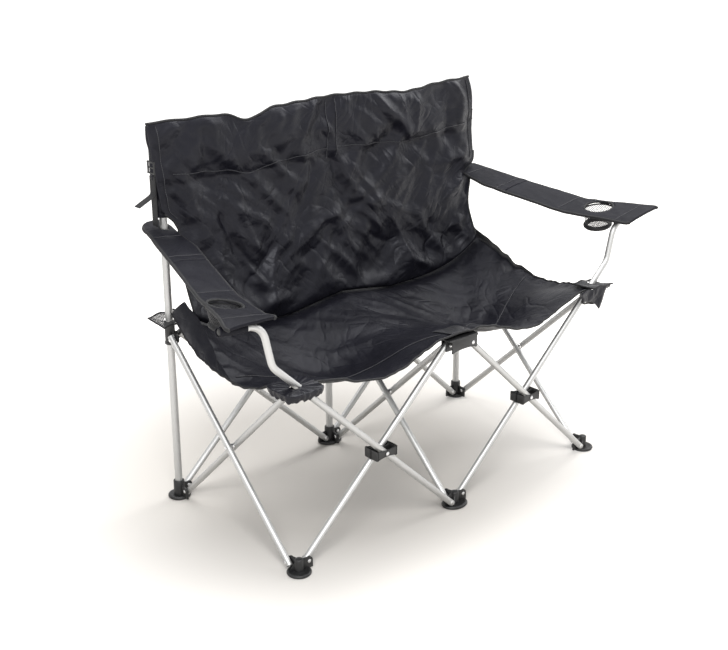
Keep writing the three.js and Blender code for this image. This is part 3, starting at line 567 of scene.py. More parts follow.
@dataclass(frozen=True)
class PaleFloor(Finish):
    """A plain floor with painted light: its warm, dim colour is painted shade under the chair, and it glows
    white farther off.
    """

    # painted shade: these warm, dim colours stand for the shade under the chair; farther off the painted glow
    # covers them
    dark: Colour = (0.62, 0.59, 0.55, 1)
    pale: Colour = (0.66, 0.63, 0.59, 1)
    middle: Place = (-0.1, 0.15, 0)
    near: float = 0.86
    patches: float = 0.6

    def dress(self, shader: Shader) -> None:
        """The painted glow grows with the distance from the chair's middle, so the warm painted shade shows
        only near the chair.

        Args:
            shader: the tree to fill.
        """
        place = shader.objects()
        far = shader.output("ShaderNodeVectorMath", {0: place, 1: self.middle}, 1, operation="DISTANCE")
        patches = shader.noise(place, self.patches, 2)
        shader.surface(
            Base_Color=shader.ramp(patches, (0.3, self.dark), (0.7, self.pale)),
            Roughness=0.7,
            # painted light: the floor glows white, the more the farther it is from the chair's middle
            Emission_Color=shader.ramp((far * self.near) ** 2, (0.1, grey(0)), (0.95, grey(1))),
            Emission_Strength=1,
        )


@dataclass(frozen=True)
class OpenNet(Finish):
    """Knitted net with diamond holes."""

    dark: Colour = (0.006, 0.006, 0.007, 1)
    pale: Colour = (0.022, 0.022, 0.025, 1)
    hole: float = 0.005
    thread: float = 0.6
    depth: float = 0.0004
    fuzz: float = 700

    def dress(self, shader: Shader) -> None:
        """Alpha opens the holes between slanted threads.

        Args:
            shader: the tree to fill.
        """
        across, along, _ = shader.parts(shader.attribute("weave"))
        turns = math.pi / self.hole
        one = ((across + along) * turns).sine().size()
        two = ((across - along) * turns).sine().size()
        gaps = (one * two) ** 0.5
        fuzz = shader.noise(shader.objects(), self.fuzz, 3)
        shader.surface(
            Base_Color=shader.ramp(fuzz, (0.3, self.dark), (0.7, self.pale)),
            Roughness=shader.span(fuzz, 0.5, 0.75),
            Alpha=1 - (gaps > self.thread),
            Normal=shader.bump(1 - gaps, self.depth, 0.5),
        )


def newer(bm: BMesh, before: set[bmesh.types.BMVert]) -> list[bmesh.types.BMVert]:
    """The points of a mesh that weren't there before."""
    return [vert for vert in bm.verts if vert not in before]


def close_shell(bm: BMesh, verts: Sequence[bmesh.types.BMVert]) -> None:
    """Turns the faces of a closed shell outwards."""
    faces = {face for vert in verts for face in vert.link_faces}
    bmesh.ops.recalc_face_normals(bm, faces=list(faces))


def layer(bm: BMesh, name: str) -> bmesh.types.BMLayerItem:
    """A mesh's vector attribute of that name, new where there is none."""
    layers = bm.verts.layers.float_vector
    return layers.get(name) or layers.new(name)


def lathe(bm: BMesh, profile: Outline, place: Matrix, segments: int) -> None:
    """Spins a profile about Z and puts it in place.

    Args:
        bm: the mesh that it joins.
        profile: places out from the axis and up it, from one end to the other.
        place: where the axis and its foot go.
        segments: steps in the turn.
    """
    before = set(bm.verts)
    verts = [bm.verts.new((radius, 0, height)) for radius, height in profile]
    edges = [bm.edges.new(pair) for pair in zip(verts, verts[1:])]
    bmesh.ops.spin(
        bm,
        geom=verts + edges,
        cent=(0, 0, 0),
        axis=UP,
        angle=2 * math.pi,
        steps=segments,
        use_merge=True,
        use_duplicate=False,
    )
    bmesh.ops.remove_doubles(bm, verts=newer(bm, before), dist=1e-6)
    fresh = newer(bm, before)
    close_shell(bm, fresh)
    bmesh.ops.transform(bm, matrix=place, verts=fresh)


def plate(bm: BMesh, outline: Outline, thick: float, place: Matrix, edge: float) -> None:
    """Raises a flat outline into a plate with eased edges.

    Args:
        bm: the mesh that it joins.
        outline: the outline's corners in order.
        thick: the plate's thickness, half to each side of its plane.
        place: where the plane goes.
        edge: the radius of its eased edges.
    """
    before = set(bm.verts)
    face = bm.faces.new([bm.verts.new((x, y, -thick / 2)) for x, y in outline])
    raised = bmesh.ops.extrude_face_region(bm, geom=[face])["geom"]
    lifted = [v for v in raised if isinstance(v, bmesh.types.BMVert)]
    bmesh.ops.translate(bm, vec=UP * thick, verts=lifted)
    fresh = newer(bm, before)
    close_shell(bm, fresh)
    joined = {e for v in fresh for e in v.link_edges if len(e.link_faces) == 2}
    bmesh.ops.bevel(
        bm,
        geom=[e for e in joined if e.calc_face_angle() > SHARP_TURN],
        offset=edge,
        offset_type="OFFSET",
        segments=2,
        profile=0.5,
        affect="EDGES",
        material=-1,
        clamp_overlap=True,
    )
    bmesh.ops.transform(bm, matrix=place, verts=newer(bm, before))


def arc(centre: Pair, radius: float, start: float, end: float, steps: int = 8) -> Outline:
    """Points along an arc, in steps from its first angle to its last one, in degrees."""
    angles = [math.radians(start + (end - start) * k / steps) for k in range(steps + 1)]
    return [(centre[0] + radius * math.cos(a), centre[1] + radius * math.sin(a)) for a in angles]


def rounded_box(half_x: float, half_y: float, radius: float) -> Outline:
    """The outline of a rectangle with round corners.

    Args:
        half_x: half its width.
        half_y: half its depth.
        radius: the corners' radius.

    Returns:
        The outline's places in order.
    """
    x, y = half_x - radius, half_y - radius
    corners = ((x, y), (-x, y), (-x, -y), (x, -y))
    return [point for k, spot in enumerate(corners) for point in arc(spot, radius, 90 * k, 90 * (k + 1))]


def lengths_along(path: Path) -> list[float]:
    """The distance along a path to each of its points."""
    return list(accumulate(((b - a).length for a, b in zip(path, path[1:])), initial=0))


def frames_along(path: Path) -> list[Matrix]:
    """Turning-free frames along a path, one for each point, with Z along it.

    Args:
        path: the points.

    Returns:
        The frames as matrices.
    """
    frames: list[Matrix] = []
    turn = Matrix.Identity(3)
    last = UP
    for i, point in enumerate(path):
        along = (path[min(i + 1, len(path) - 1)] - path[max(i - 1, 0)]).normalized()
        turn = last.rotation_difference(along).to_matrix() @ turn
        frames.append(Matrix.Translation(point) @ turn.to_4x4())
        last = along
    return frames


def sweep(bm: BMesh, path: Path, radius: float, wall: float, segments: int) -> None:
    """Draws a ring along a path, as a tube with an open bore or a solid cord.

    Args:
        bm: the mesh that it joins; its layer "drawn" gets the place along the unbent tube.
        path: the points of its middle line.
        radius: the outer radius.
        wall: the wall's thickness, or 0 for a solid cord with closed ends.
        segments: points round the ring.
    """
    drawn = layer(bm, "drawn")
    before = set(bm.verts)
    rounds = [(frame, length, radius) for frame, length in zip(frames_along(path), lengths_along(path))]
    if wall > 0:
        rounds += [(frame, length, radius - wall) for frame, length, _ in reversed(rounds)]
    ring = bmesh.ops.create_circle(bm, cap_ends=False, radius=1, segments=segments)["verts"]
    first = edges = list({e for v in ring for e in v.link_edges})
    old = Matrix.Identity(4)
    for number, (frame, length, size) in enumerate(rounds):
        place = frame @ Matrix.Scale(size, 4)
        if number > 0:
            made = bmesh.ops.extrude_edge_only(bm, edges=edges)["geom"]
            ring = [v for v in made if isinstance(v, bmesh.types.BMVert)]
            new = set(ring)
            edges = [e for e in made if isinstance(e, bmesh.types.BMEdge) and new.issuperset(e.verts)]
        bmesh.ops.transform(bm, matrix=place @ old.inverted(), verts=ring)
        back = place.inverted()
        for vert in ring:
            local = back @ vert.co
            vert[drawn] = Vector((local.x * size, local.y * size, length))
        old = place
    if wall > 0:
        bmesh.ops.bridge_loops(bm, edges=first + edges)
    else:
        bmesh.ops.holes_fill(bm, edges=first)
        bmesh.ops.holes_fill(bm, edges=edges)
    close_shell(bm, newer(bm, before))


def turned_to(direction: Vector, point: Vector) -> Matrix:
    """A placing that lays Z along a direction from a point."""
    turn = UP.rotation_difference(direction).to_matrix().to_4x4()
    return Matrix.Translation(point) @ turn


def upright(bearing: float, centre: Place) -> Matrix:
    """A placing for an outline of an upright plate that stands out from a post at a bearing in degrees."""
    stand = Matrix.Rotation(math.radians(90), 4, "X")
    return Matrix.Translation(Vector(centre)) @ Matrix.Rotation(math.radians(bearing), 4, "Z") @ stand


def gather(piece: Piece) -> None:
    """Gives a piece a mesh of its own."""
    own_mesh(piece)


class Bench:
    """Where meshes become finished pieces that ride on the frame."""

    def __init__(self, finishes: dict[Look, Finish]) -> None:
        """Makes each finish's material once."""
        self.materials = {look: finish.material(look.title) for look, finish in finishes.items()}

    def add(
        self,
        name: str,
        shape: BMesh | Mesh,
        look: Look,
        body: str,
        nodes: Sequence[str] = (),
        sharp: float = 38,
    ) -> Piece:
        """Finishes a mesh as a piece.

        Args:
            name: the piece's name.
            shape: its mesh, in place.
            look: its finish.
            body: the CAD body that it rides on.
            nodes: the CAD nodes that it stands for.
            sharp: edges that turn by more than this many degrees stay sharp.

        Returns:
            The new object.
        """
        mesh = shape
        if isinstance(shape, BMesh):
            mesh = bpy.data.meshes.new(name)
            shape.to_mesh(mesh)
            shape.free()
        mesh.shade_smooth()
        mesh.set_sharp_from_angle(angle=math.radians(sharp))
        mesh.materials.clear()
        mesh.materials.append(self.materials[look])
        piece = bpy.data.objects.new(name, mesh)
        bpy.context.scene.collection.objects.link(piece)
        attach(piece, body)
        if nodes:
            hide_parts(*nodes)
        log.info("%s rides on %s", name, body)
        return piece

    def cloth(
        self,
        name: str,
        mesh: Mesh,
        look: Look,
        body: str,
        thick: float,
        offset: float = 0,
        nodes: Sequence[str] = (),
    ) -> Piece:
        """Finishes a sheet as a rounded piece of cloth.

        Args:
            name: the piece's name.
            mesh: its sheet, in place.
            look: its finish.
            body: the CAD body that it rides on.
            thick: its thickness in metres.
            offset: which side the thickness goes, from -1 behind the faces to 1 before them.
            nodes: the CAD nodes that it stands for.

        Returns:
            The new object.
        """
        piece = self.add(name, mesh, look, body, nodes, 180)
        solid = piece.modifiers.new("thickness", "SOLIDIFY")
        solid.thickness = thick
        solid.offset = offset
        solid.use_even_offset = False
        rounding = piece.modifiers.new("rounding", "SUBSURF")
        rounding.levels = 1
        rounding.render_levels = 1
        return piece

    def binding(self, name: str, path: Path, body: str, radius: float, look: Look = Look.BINDING) -> Piece:
        """Sews a tape or a thread along a path, with the place along it for its woven finish.

        Args:
            name: the piece's name.
            path: its middle line.
            body: the CAD body that it rides on.
            radius: its radius.
            look: its finish.

        Returns:
            The new object.
        """
        bm = bmesh.new()
        sweep(bm, path, radius, 0, 6 if look is Look.THREAD else 10)
        weave = layer(bm, "weave")
        drawn = layer(bm, "drawn")
        for vert in bm.verts:
            vert[weave] = Vector((vert[drawn].x + vert[drawn].y, vert[drawn].z, 0))
        return self.add(name, bm, look, body)

    def stitches(self, name: str, path: Path, body: str) -> Piece:
        """A row of stitches along a path."""
        return self.binding(name, path, body, STITCH_RADIUS, Look.THREAD)


@dataclass
class PostGrid:
    """The square grid of posts and the pivots between them."""

    bay: float = 0.5
    pin_offset: float = 0.028
    foot_pin: float = 0.022
    hub_pin: float = 0.44
    web: float = 0.005
    layer: float = 0.0109
    shell_face: float = 0.0193

    @property
    def front(self) -> float:
        """The front row's place."""
        return -self.bay / 2

    @property
    def rear(self) -> float:
        """The rear row's place."""
        return self.bay / 2

    @property
    def crossing(self) -> float:
        """The height where a scissor's tubes cross."""
        return (self.foot_pin + self.hub_pin) / 2

    def x(self, side: Side) -> float:
        """A post's place across the chair."""
        return side.value * self.bay


@dataclass
class ScissorFrame:
    """Aluminium legs, arm tubes and poles with their rivets."""

    bench: Bench
    grid: PostGrid
    leg_radius: float = 0.008
    pole_radius: float = 0.0095
    wall: float = 0.0012
    leg_end: float = 0.01
    pole_foot: float = 0.0113
    pole_top: float = 0.958
    plug_depth: float = 0.014
    plug_rise: float = 0.005
    rivet_head: float = 0.0048
    rivet_rise: float = 0.0019
    shank: float = 0.0025
    spacer: float = 0.0065
    bracket_face: float = 0.0043
    seated: float = 0.985
    knee_run: float = 0.13
    elbow: Pair = (0.59, 0.63)
    tip: Pair = (0.694, 0.64)
    bend_radius: float = 0.048
    bend_steps: int = 10

    def ends(self, side: Side, way: Way) -> tuple[Vector, Vector, Vector]:
        """The pivots of one leg.

        Args:
            side: the leg's side of the chair.
            way: the leg's kind.

        Returns:
            The foot pivot, the hub pivot and the direction from the leg to its web.
        """
        g = self.grid
        sign = side.value
        if way in (Way.FORWARD, Way.REARWARD):
            turn = 1 if way is Way.FORWARD else -1
            x = g.x(side) + turn * g.layer
            run = turn * (g.rear - g.pin_offset)
            return Vector((x, run, g.foot_pin)), Vector((x, -run, g.hub_pin)), Vector((-turn, 0, 0))
        outward = way in (Way.OUTWARD, Way.ARM)
        turn = sign if outward else -sign
        y = (g.rear if way in (Way.OUTWARD, Way.INWARD) else g.front) + turn * g.layer
        near, far = g.pin_offset, g.bay - g.pin_offset
        if not outward:
            near, far = far, near
        return Vector((sign * near, y, g.foot_pin)), Vector((sign * far, y, g.hub_pin)), Vector((0, -turn, 0))

    def arm_path(self, side: Side) -> list[Vector]:
        """The middle line of an arm tube from its foot to its tip.

        Args:
            side: its side of the chair.

        Returns:
            The points of the line.
        """
        foot, hub, _ = self.ends(side, Way.ARM)
        along = (hub - foot).normalized()
        corners = [foot - along * self.leg_end, hub + along * self.knee_run]
        corners += [Vector((side.value * x, foot.y, z)) for x, z in (self.elbow, self.tip)]
        path = [corners[0]]
        for before, corner, after in zip(corners, corners[1:], corners[2:]):
            back, on = (before - corner).normalized(), (after - corner).normalized()
            half = back.angle(on) / 2
            centre = corner + (back + on).normalized() * (self.bend_radius / math.sin(half))
            reach = self.bend_radius / math.tan(half)
            first, last = corner + back * reach - centre, corner + on * reach - centre
            whole = first.rotation_difference(last)
            for k in range(self.bend_steps + 1):
                path.append(centre + Quaternion(whole.axis, whole.angle * k / self.bend_steps) @ first)
        return path + [corners[-1]]

    def head(self, bm: BMesh, point: Vector, direction: Vector) -> None:
        """A domed rivet head that stands on a point.

        Args:
            bm: the mesh that it joins.
            point: the middle of its foot.
            direction: the way it faces.
        """
        dome = ((0, 1), (0.45, 0.92), (0.8, 0.6), (1, 0.15), (1, 0), (0, 0))
        profile = [(self.rivet_head * out, self.rivet_rise * up) for out, up in dome]
        lathe(bm, profile, turned_to(direction, point), 20)

    def leg(self, node: str, body: str, side: Side, way: Way) -> None:
        """One leg with the rivet heads at its ends.

        Args:
            node: the CAD node that it replaces.
            body: the body that it rides on.
            side: its row of posts.
            way: the way it runs.
        """
        foot, hub, towards = self.ends(side, way)
        along = (hub - foot).normalized()
        path = [foot - along * self.leg_end, hub + along * self.leg_end]
        if way is Way.ARM:
            path = self.arm_path(side)
        tube = bmesh.new()
        sweep(tube, path, self.leg_radius, self.wall, 28)
        self.bench.add(node + "_tube", tube, Look.TUBE, body, [node])
        heads = bmesh.new()
        reach = self.grid.layer + self.grid.web / 2 + GAP
        for point in (foot, hub):
            self.head(heads, point + towards * reach, towards)
            self.head(heads, point - towards * self.leg_radius * self.seated, -towards)
        self.bench.add(node + "_rivets", heads, Look.RIVET, body)

    def build(self) -> None:
        """All tubes, caps and crossing rivets."""
        for side in Side:
            for way in (Way.FORWARD, Way.REARWARD):
                name = f"leg_{side.word}_{way.value}"
                self.leg("side_" + name, name, side, way)
        for side in OUTER:
            for way in (Way.OUTWARD, Way.INWARD):
                name = f"rear_leg_{side.word}_{way.value}"
                self.leg(name, name + "_body", side, way)
            self.leg(f"front_leg_{side.word}", f"front_leg_{side.word}_body", side, Way.FRONT)
            body = f"arm_{side.word}"
            self.leg(f"arm_tube_{side.word}", body, side, Way.ARM)
            path = self.arm_path(side)
            outward = (path[-1] - path[-2]).normalized()
            self.cap(f"arm_cap_{side.word}", body, path[-1], outward, self.leg_radius)
        for side in Side:
            body = f"post_rear_{side.word}"
            low = Vector((self.grid.x(side), self.grid.rear, self.pole_foot))
            top = Vector((self.grid.x(side), self.grid.rear, self.pole_top))
            pole = bmesh.new()
            sweep(pole, [low, top], self.pole_radius, self.wall, 32)
            self.bench.add(f"rear_pole_{side.word}_tube", pole, Look.TUBE, body, [f"rear_pole_{side.word}"])
            self.cap(f"pole_cap_{side.word}", body, top, UP, self.pole_radius)
        self.crossings()

    def cap(self, node: str, body: str, point: Vector, way: Vector, radius: float) -> None:
        """A domed plug in a tube's open end.

        Args:
            node: the CAD node that it replaces.
            body: the body that it rides on.
            point: the middle of the tube's end.
            way: the way the end faces.
            radius: the tube's radius.
        """
        plug = radius - self.wall - GAP
        profile = [(0, -self.plug_depth), (plug, -self.plug_depth), (plug, GAP), (radius, GAP)]
        dome = ((1, 0.4), (0.86, 0.76), (0.5, 0.94), (0, 1))
        profile += [(radius * out, self.plug_rise * up) for out, up in dome]
        bm = bmesh.new()
        lathe(bm, profile, turned_to(way, point), 28)
        self.bench.add(node + "_plug", bm, Look.PLASTIC, body, [node])

    def crossings(self) -> None:
        """Rivets where the tubes cross, with a spacer between pairs that no bracket holds."""
        g = self.grid
        rivets = [("side_rivet", side, "leg_{}_forward", (g.x(side), 0), ACROSS) for side in Side]
        for side in OUTER:
            x = g.x(side) / 2
            rivets.append(("rear_rivet", side, "rear_leg_{}_outward_body", (x, g.rear), BACK))
            rivets.append(("bracket_rivet", side, "bracket_{}", (x, g.front), BACK))
        for kind, side, body, spot, way in rivets:
            centre = Vector((*spot, g.crossing))
            pins = [(self.shank, g.shell_face + self.bracket_face, 16)]
            if spot[1] != g.front:
                pins = [(self.shank, g.layer + self.leg_radius + GAP, 16)]
                pins.append((self.spacer, g.layer - self.leg_radius - GAP, 24))
            bm = bmesh.new()
            for turn in (way, -way):
                self.head(bm, centre + turn * pins[0][1], turn)
            for radius, half, segments in pins:
                profile = [(0, -half), (radius, -half), (radius, half), (0, half)]
                lathe(bm, profile, turned_to(way, centre), segments)
            node = f"{kind}_{side.word}"
            self.bench.add(node + "_pin", bm, Look.RIVET, body.format(side.word), [node])


@dataclass
class Mouldings:
    """Black moulded feet, sliders, hubs and cross brackets."""

    bench: Bench
    grid: PostGrid
    scissors: ScissorFrame
    web_round: float = 0.011
    foot_radius: float = 0.029
    foot_stretch: float = 1.25
    foot_thick: float = 0.008
    foot_floor: float = 0.004
    rib_thick: float = 0.003
    rib_ease: float = 0.0005
    column: float = 0.01
    column_top: float = 0.038
    socket_outer: float = 0.014
    socket_inner: float = 0.0098
    socket_floor: float = 0.011
    socket_top: float = 0.046
    slider_inner: float = 0.01
    slider_outer: float = 0.014
    slider_waist: float = 0.0128
    slider_below: float = 0.02
    slider_above: float = 0.038
    hub_below: float = 0.014
    corner_above: float = 0.003
    hub_half: float = 0.048
    hub_round: float = 0.006
    hub_shell: float = 0.003
    hub_headroom: float = 0.015
    hub_plate: float = 0.005
    plate_ease: float = 0.0012
    arch_rise: float = 0.005
    rear_gap: float = 0.005
    lap: float = 0.002
    rivet_seat: float = 0.0007
    bracket_length: float = 0.0636
    bracket_height: float = 0.024
    bracket_wall: float = 0.003
    bracket_end: float = 0.007
    bracket_round: float = 0.0045
    bracket_scallop: float = 0.004
    ease: float = 0.0009

    def bearings(self, side: Side, front: bool) -> list[float]:
        """The bearings from a post to its neighbours, in degrees from +X.

        Args:
            side: the post's row.
            front: whether it is a front post.

        Returns:
            The bearings.
        """
        ways = [90 if front else -90]
        ways += [180] if side is not Side.LEFT else []
        ways += [0] if side is not Side.RIGHT else []
        return ways

    def foot_web(self) -> Outline:
        """The outline of a foot's upright web.

        Returns:
            The outline's places, out from the post and up.
        """
        pin = (self.grid.pin_offset, self.grid.foot_pin)
        toe = (self.grid.pin_offset + self.web_round, self.foot_floor)
        nose = arc(pin, self.web_round, 0, 108)
        return [(0, self.foot_floor), toe] + nose + [(0, self.column_top - self.lap)]

    def hub_web(self, above: float) -> Outline:
        """The outline of a hub's upright web.

        Args:
            above: its height over the pin.

        Returns:
            The outline's places, out from the post and up.
        """
        pin = (self.grid.pin_offset, self.grid.hub_pin)
        nose = arc(pin, self.web_round, -90, 135)
        return [(0, self.grid.hub_pin - self.hub_below)] + nose + [(0, self.grid.hub_pin + above)]

    def post(self, front: bool) -> Outline:
        """The profile of a foot's column, or of the socket for a rear pole.

        Args:
            front: whether the foot is at the front.

        Returns:
            The profile's places, out and up.
        """
        floor = self.foot_floor
        if front:
            c, top = self.column, self.column_top
            dome = [(c, top - 0.003), (c - 0.001, top - 0.001), (c - 0.003, top), (0, top)]
            return [(0, floor), (c, floor)] + dome
        o, i, top = self.socket_outer, self.socket_inner, self.socket_top
        cup = [(0, floor), (o, floor), (o, top - 0.0025), (o - 0.001, top - 0.0006), (o - 0.002, top)]
        return cup + [(i + 0.0006, top), (i, top - 0.0006), (i, self.socket_floor), (0, self.socket_floor)]

    def foot(self, side: Side, front: bool) -> None:
        """A disc with a raised rim, its webs, ribs and a column or a pole socket.

        Args:
            side: its row of posts.
            front: whether it is at the front.
        """
        spot = (self.grid.x(side), self.grid.front if front else self.grid.rear, 0)
        r, t = self.foot_radius, self.foot_thick
        disc = [(0, 0), (r - 0.004, 0), (r - 0.0012, 0.0008), (r, 0.0028), (r, 0.0052), (r - 0.001, 0.0068)]
        disc += [(r - 0.003, t), (r - 0.006, t + 0.0004), (r - 0.0085, t - 0.001), (0, t - 0.001)]
        rib = [(0.004, 0.004), (0.022, 0.004), (0.02, 0.009), (0.008, 0.03), (0.004, 0.03)]
        stretch = self.foot_stretch if side is Side.MIDDLE else 1
        centre = Matrix.Translation(spot)
        bm = bmesh.new()
        lathe(bm, disc, centre @ Matrix.Diagonal((stretch, 1, 1, 1)), 56)
        lathe(bm, self.post(front), centre, 36 if front else 40)
        for bearing in self.bearings(side, front):
            plate(bm, self.foot_web(), self.grid.web, upright(bearing, spot), self.ease)
            plate(bm, rib, self.rib_thick, upright(bearing + 45, spot), self.rib_ease)
        name = f"foot_{'front' if front else 'rear'}_{side.word}"
        body = name + "_body" if front else "post_rear_" + side.word
        self.bench.add(name + "_moulding", bm, Look.PLASTIC, body, [name])

    def slider(self, side: Side) -> None:
        """A sleeve that runs on a rear pole, with its webs and a collar at each end.

        Args:
            side: its row of posts.
        """
        g = self.grid
        low, high = g.hub_pin - self.slider_below, g.hub_pin + self.slider_above
        i, o, waist = self.slider_inner, self.slider_outer, self.slider_waist
        wall = [(i, low), (o - 0.0006, low), (o, low + 0.0006), (o, low + 0.006), (waist, low + 0.007)]
        wall += [(waist, high - 0.008), (o, high - 0.007), (o, high - 0.001), (o - 0.001, high)]
        wall += [(i, high), (i, low)]
        spot = (g.x(side), g.rear, 0)
        web = [(max(x, i + 0.0005), z) for x, z in self.hub_web(self.web_round)]
        bm = bmesh.new()
        lathe(bm, wall, Matrix.Translation(spot), 40)
        for bearing in self.bearings(side, False):
            plate(bm, web, g.web, upright(bearing, spot), self.ease)
        name = f"slider_{side.word}"
        self.bench.add(name + "_moulding", bm, Look.PLASTIC, name + "_body", [name])

    def corner_hub(self, side: Side) -> None:
        """A low knuckle with two webs, cut back where the arm tube passes.

        Args:
            side: its side of the chair.
        """
        g = self.grid
        low, high = g.hub_pin - self.hub_below, g.hub_pin + self.corner_above
        c, edge = self.column, g.web / 2
        half = arc((0, 0), c, 180, 360, 16) + [(c, edge), (-c, edge)]
        outline = [(side.value * x, side.value * y) for x, y in half]
        bm = bmesh.new()
        middle = Matrix.Translation((g.x(side), g.front, (low + high) / 2))
        plate(bm, outline, high - low, middle, self.ease)
        for bearing in self.bearings(side, True):
            web = upright(bearing, (g.x(side), g.front, 0))
            plate(bm, self.hub_web(self.corner_above), g.web, web, self.ease)
        name = f"corner_hub_{side.word}"
        self.bench.add(name + "_moulding", bm, Look.PLASTIC, f"hub_front_{side.word}", [name])

    def front_hub(self) -> None:
        """The middle housing: arched front shell, half a rear shell, webs and a top plate."""
        g = self.grid
        low = g.hub_pin - self.hub_below
        roof = g.hub_pin + self.hub_headroom
        high = roof + self.lap
        shell_y = g.shell_face + self.hub_shell / 2
        span = self.hub_half - 2 * self.hub_shell
        bay = span - 0.006
        curve = [float(x) for x in np.linspace(0.0002 - bay, bay - 0.0002, 15)]
        arch = [(x, low + self.arch_rise * (1 - (x / bay) ** 2) ** 0.5) for x in curve]
        front = [(-span, low), (-bay, low)] + arch + [(bay, low), (span, low), (span, high), (-span, high)]
        left, right = self.rear_gap - span, -self.rear_gap
        rear = [(left, low), (right, low), (right, high), (left, high)]
        web = [(-span, low), (span, low), (span, high), (-span, high)]
        top = rounded_box(self.hub_half, g.shell_face + self.hub_shell, self.hub_round)
        bm = bmesh.new()
        middle = Matrix.Translation((0, g.front, roof + self.hub_plate / 2))
        plate(bm, top, self.hub_plate, middle, self.plate_ease)
        plate(bm, front, self.hub_shell, upright(0, (0, g.front - shell_y, 0)), self.ease)
        plate(bm, rear, self.hub_shell, upright(0, (0, g.front + shell_y, 0)), self.ease)
        plate(bm, web, g.web, upright(0, (0, g.front, 0)), self.ease)
        side_web = self.hub_web(self.hub_headroom + self.lap)
        plate(bm, side_web, g.web, upright(90, (0, g.front, 0)), self.ease)
        self.bench.add("front_hub_moulding", bm, Look.PLASTIC, "hub_front_middle", ["front_hub"])
        reach = self.scissors.leg_radius + self.rivet_seat + self.hub_shell
        for side in OUTER:
            _, hub, towards = self.scissors.ends(side, Way.FRONT)
            rivet = bmesh.new()
            self.scissors.head(rivet, hub - towards * reach, -towards)
            self.bench.add(f"front_hub_rivet_{side.word}", rivet, Look.RIVET, f"front_leg_{side.word}_body")

    def bracket(self, side: Side) -> None:
        """A cage round both tubes of a front scissor, with hollowed edges and a web between the tubes.

        Args:
            side: its side of the chair.
        """
        g = self.grid
        half, tall, scallop = self.bracket_length / 2, self.bracket_height / 2, self.bracket_scallop
        chord = half - self.bracket_end / 2
        radius = (chord**2 + scallop**2) / (2 * scallop)
        reach = math.degrees(math.asin(chord / radius))
        high = arc((0, tall - scallop + radius), radius, -90 + reach, -90 - reach, 16)
        low = arc((0, scallop - tall - radius), radius, 90 + reach, 90 - reach, 16)
        outline = low + [(half, -tall), (half, tall)] + high + [(-half, tall), (-half, -tall)]
        block = rounded_box(self.bracket_end / 2, g.shell_face + self.bracket_wall, self.bracket_round)
        x, y, z = g.x(side) / 2, g.front, g.crossing
        face = g.shell_face + self.bracket_wall / 2
        bm = bmesh.new()
        for depth, thick in ((-face, self.bracket_wall), (0, g.web), (face, self.bracket_wall)):
            plate(bm, outline, thick, upright(0, (x, y + depth, z)), self.ease)
        for shift in (-chord, chord):
            plate(bm, block, 2 * tall, Matrix.Translation((x + shift, y, z)), self.ease)
        name = f"cross_bracket_{side.word}"
        self.bench.add(name + "_moulding", bm, Look.PLASTIC, f"bracket_{side.word}", [name])

    def build(self) -> None:
        """All mouldings."""
        for side in Side:
            self.foot(side, True)
            self.foot(side, False)
            self.slider(side)
        for side in OUTER:
            self.corner_hub(side)
            self.bracket(side)
        self.front_hub()


def unit(value: Array) -> Array:
    """A value held between 0 and 1."""
    return np.clip(value, 0, 1)


def ease(share: Array) -> Array:
    """A share from 0 to 1 with soft ends."""
    held = unit(share)
    return held * held * (3 - 2 * held)


def bell(offset: Array, width: float) -> Array:
    """One at no offset, falling to nothing past a width."""
    return np.exp(-((offset / width) ** 2))


def swell(share: Array) -> Array:
    """The plump rise of padding between two seams."""
    return np.sqrt(np.sin(math.pi * unit(share)))


def ridges(points: Array, scale: float, seed: float) -> Array:
    """Sharp-crested noise at each place.

    Args:
        points: the places.
        scale: cells to the metre.
        seed: shifts the noise.

    Returns:
        Numbers from about -1 to 1, with narrow crests.
    """
    shift = Vector((seed, 1.7 * seed, -0.6 * seed))
    values = [noise.noise(Vector(point) * scale + shift) for point in points]
    return 1 - 3.2 * np.abs(np.array(values))


def moved(path: Path, x: float, y: float, z: float) -> list[Vector]:
    """A path shifted by the same step throughout."""
    return [point + Vector((x, y, z)) for point in path]


@dataclass(frozen=True)
class Wrinkles:
    """Long folds that lean to both sides of a cloth's length, each kind in patches of its own."""

    rise: float
    scale: float
    lean: float
    seed: float
    stretch: float = 0.28
    patches: float = 3.5
    contrast: float = 0.9

    def lift(self, across: Array, along: Array) -> Array:
        """How far they lift the cloth, in metres, at places across and along it.

        Args:
            across: places across the cloth.
            along: places along it.

        Returns:
            The lift at each place.
        """
        tilt = math.radians(self.lean)
        still = np.zeros_like(across)
        kinds = []
        for sign in (-1, 1):
            long = along * math.cos(tilt) + sign * across * math.sin(tilt)
            wide = across * math.cos(tilt) - sign * along * math.sin(tilt)
            places = np.stack([wide, self.stretch * long, still], 1)
            kinds.append(ridges(places, self.scale, self.seed + sign))
        patches = ridges(np.stack([across, along, still], 1), self.patches, self.seed + 4)
        share = ease(0.5 + self.contrast * patches)
        return self.rise * (kinds[0] * share + kinds[1] * (1 - share))


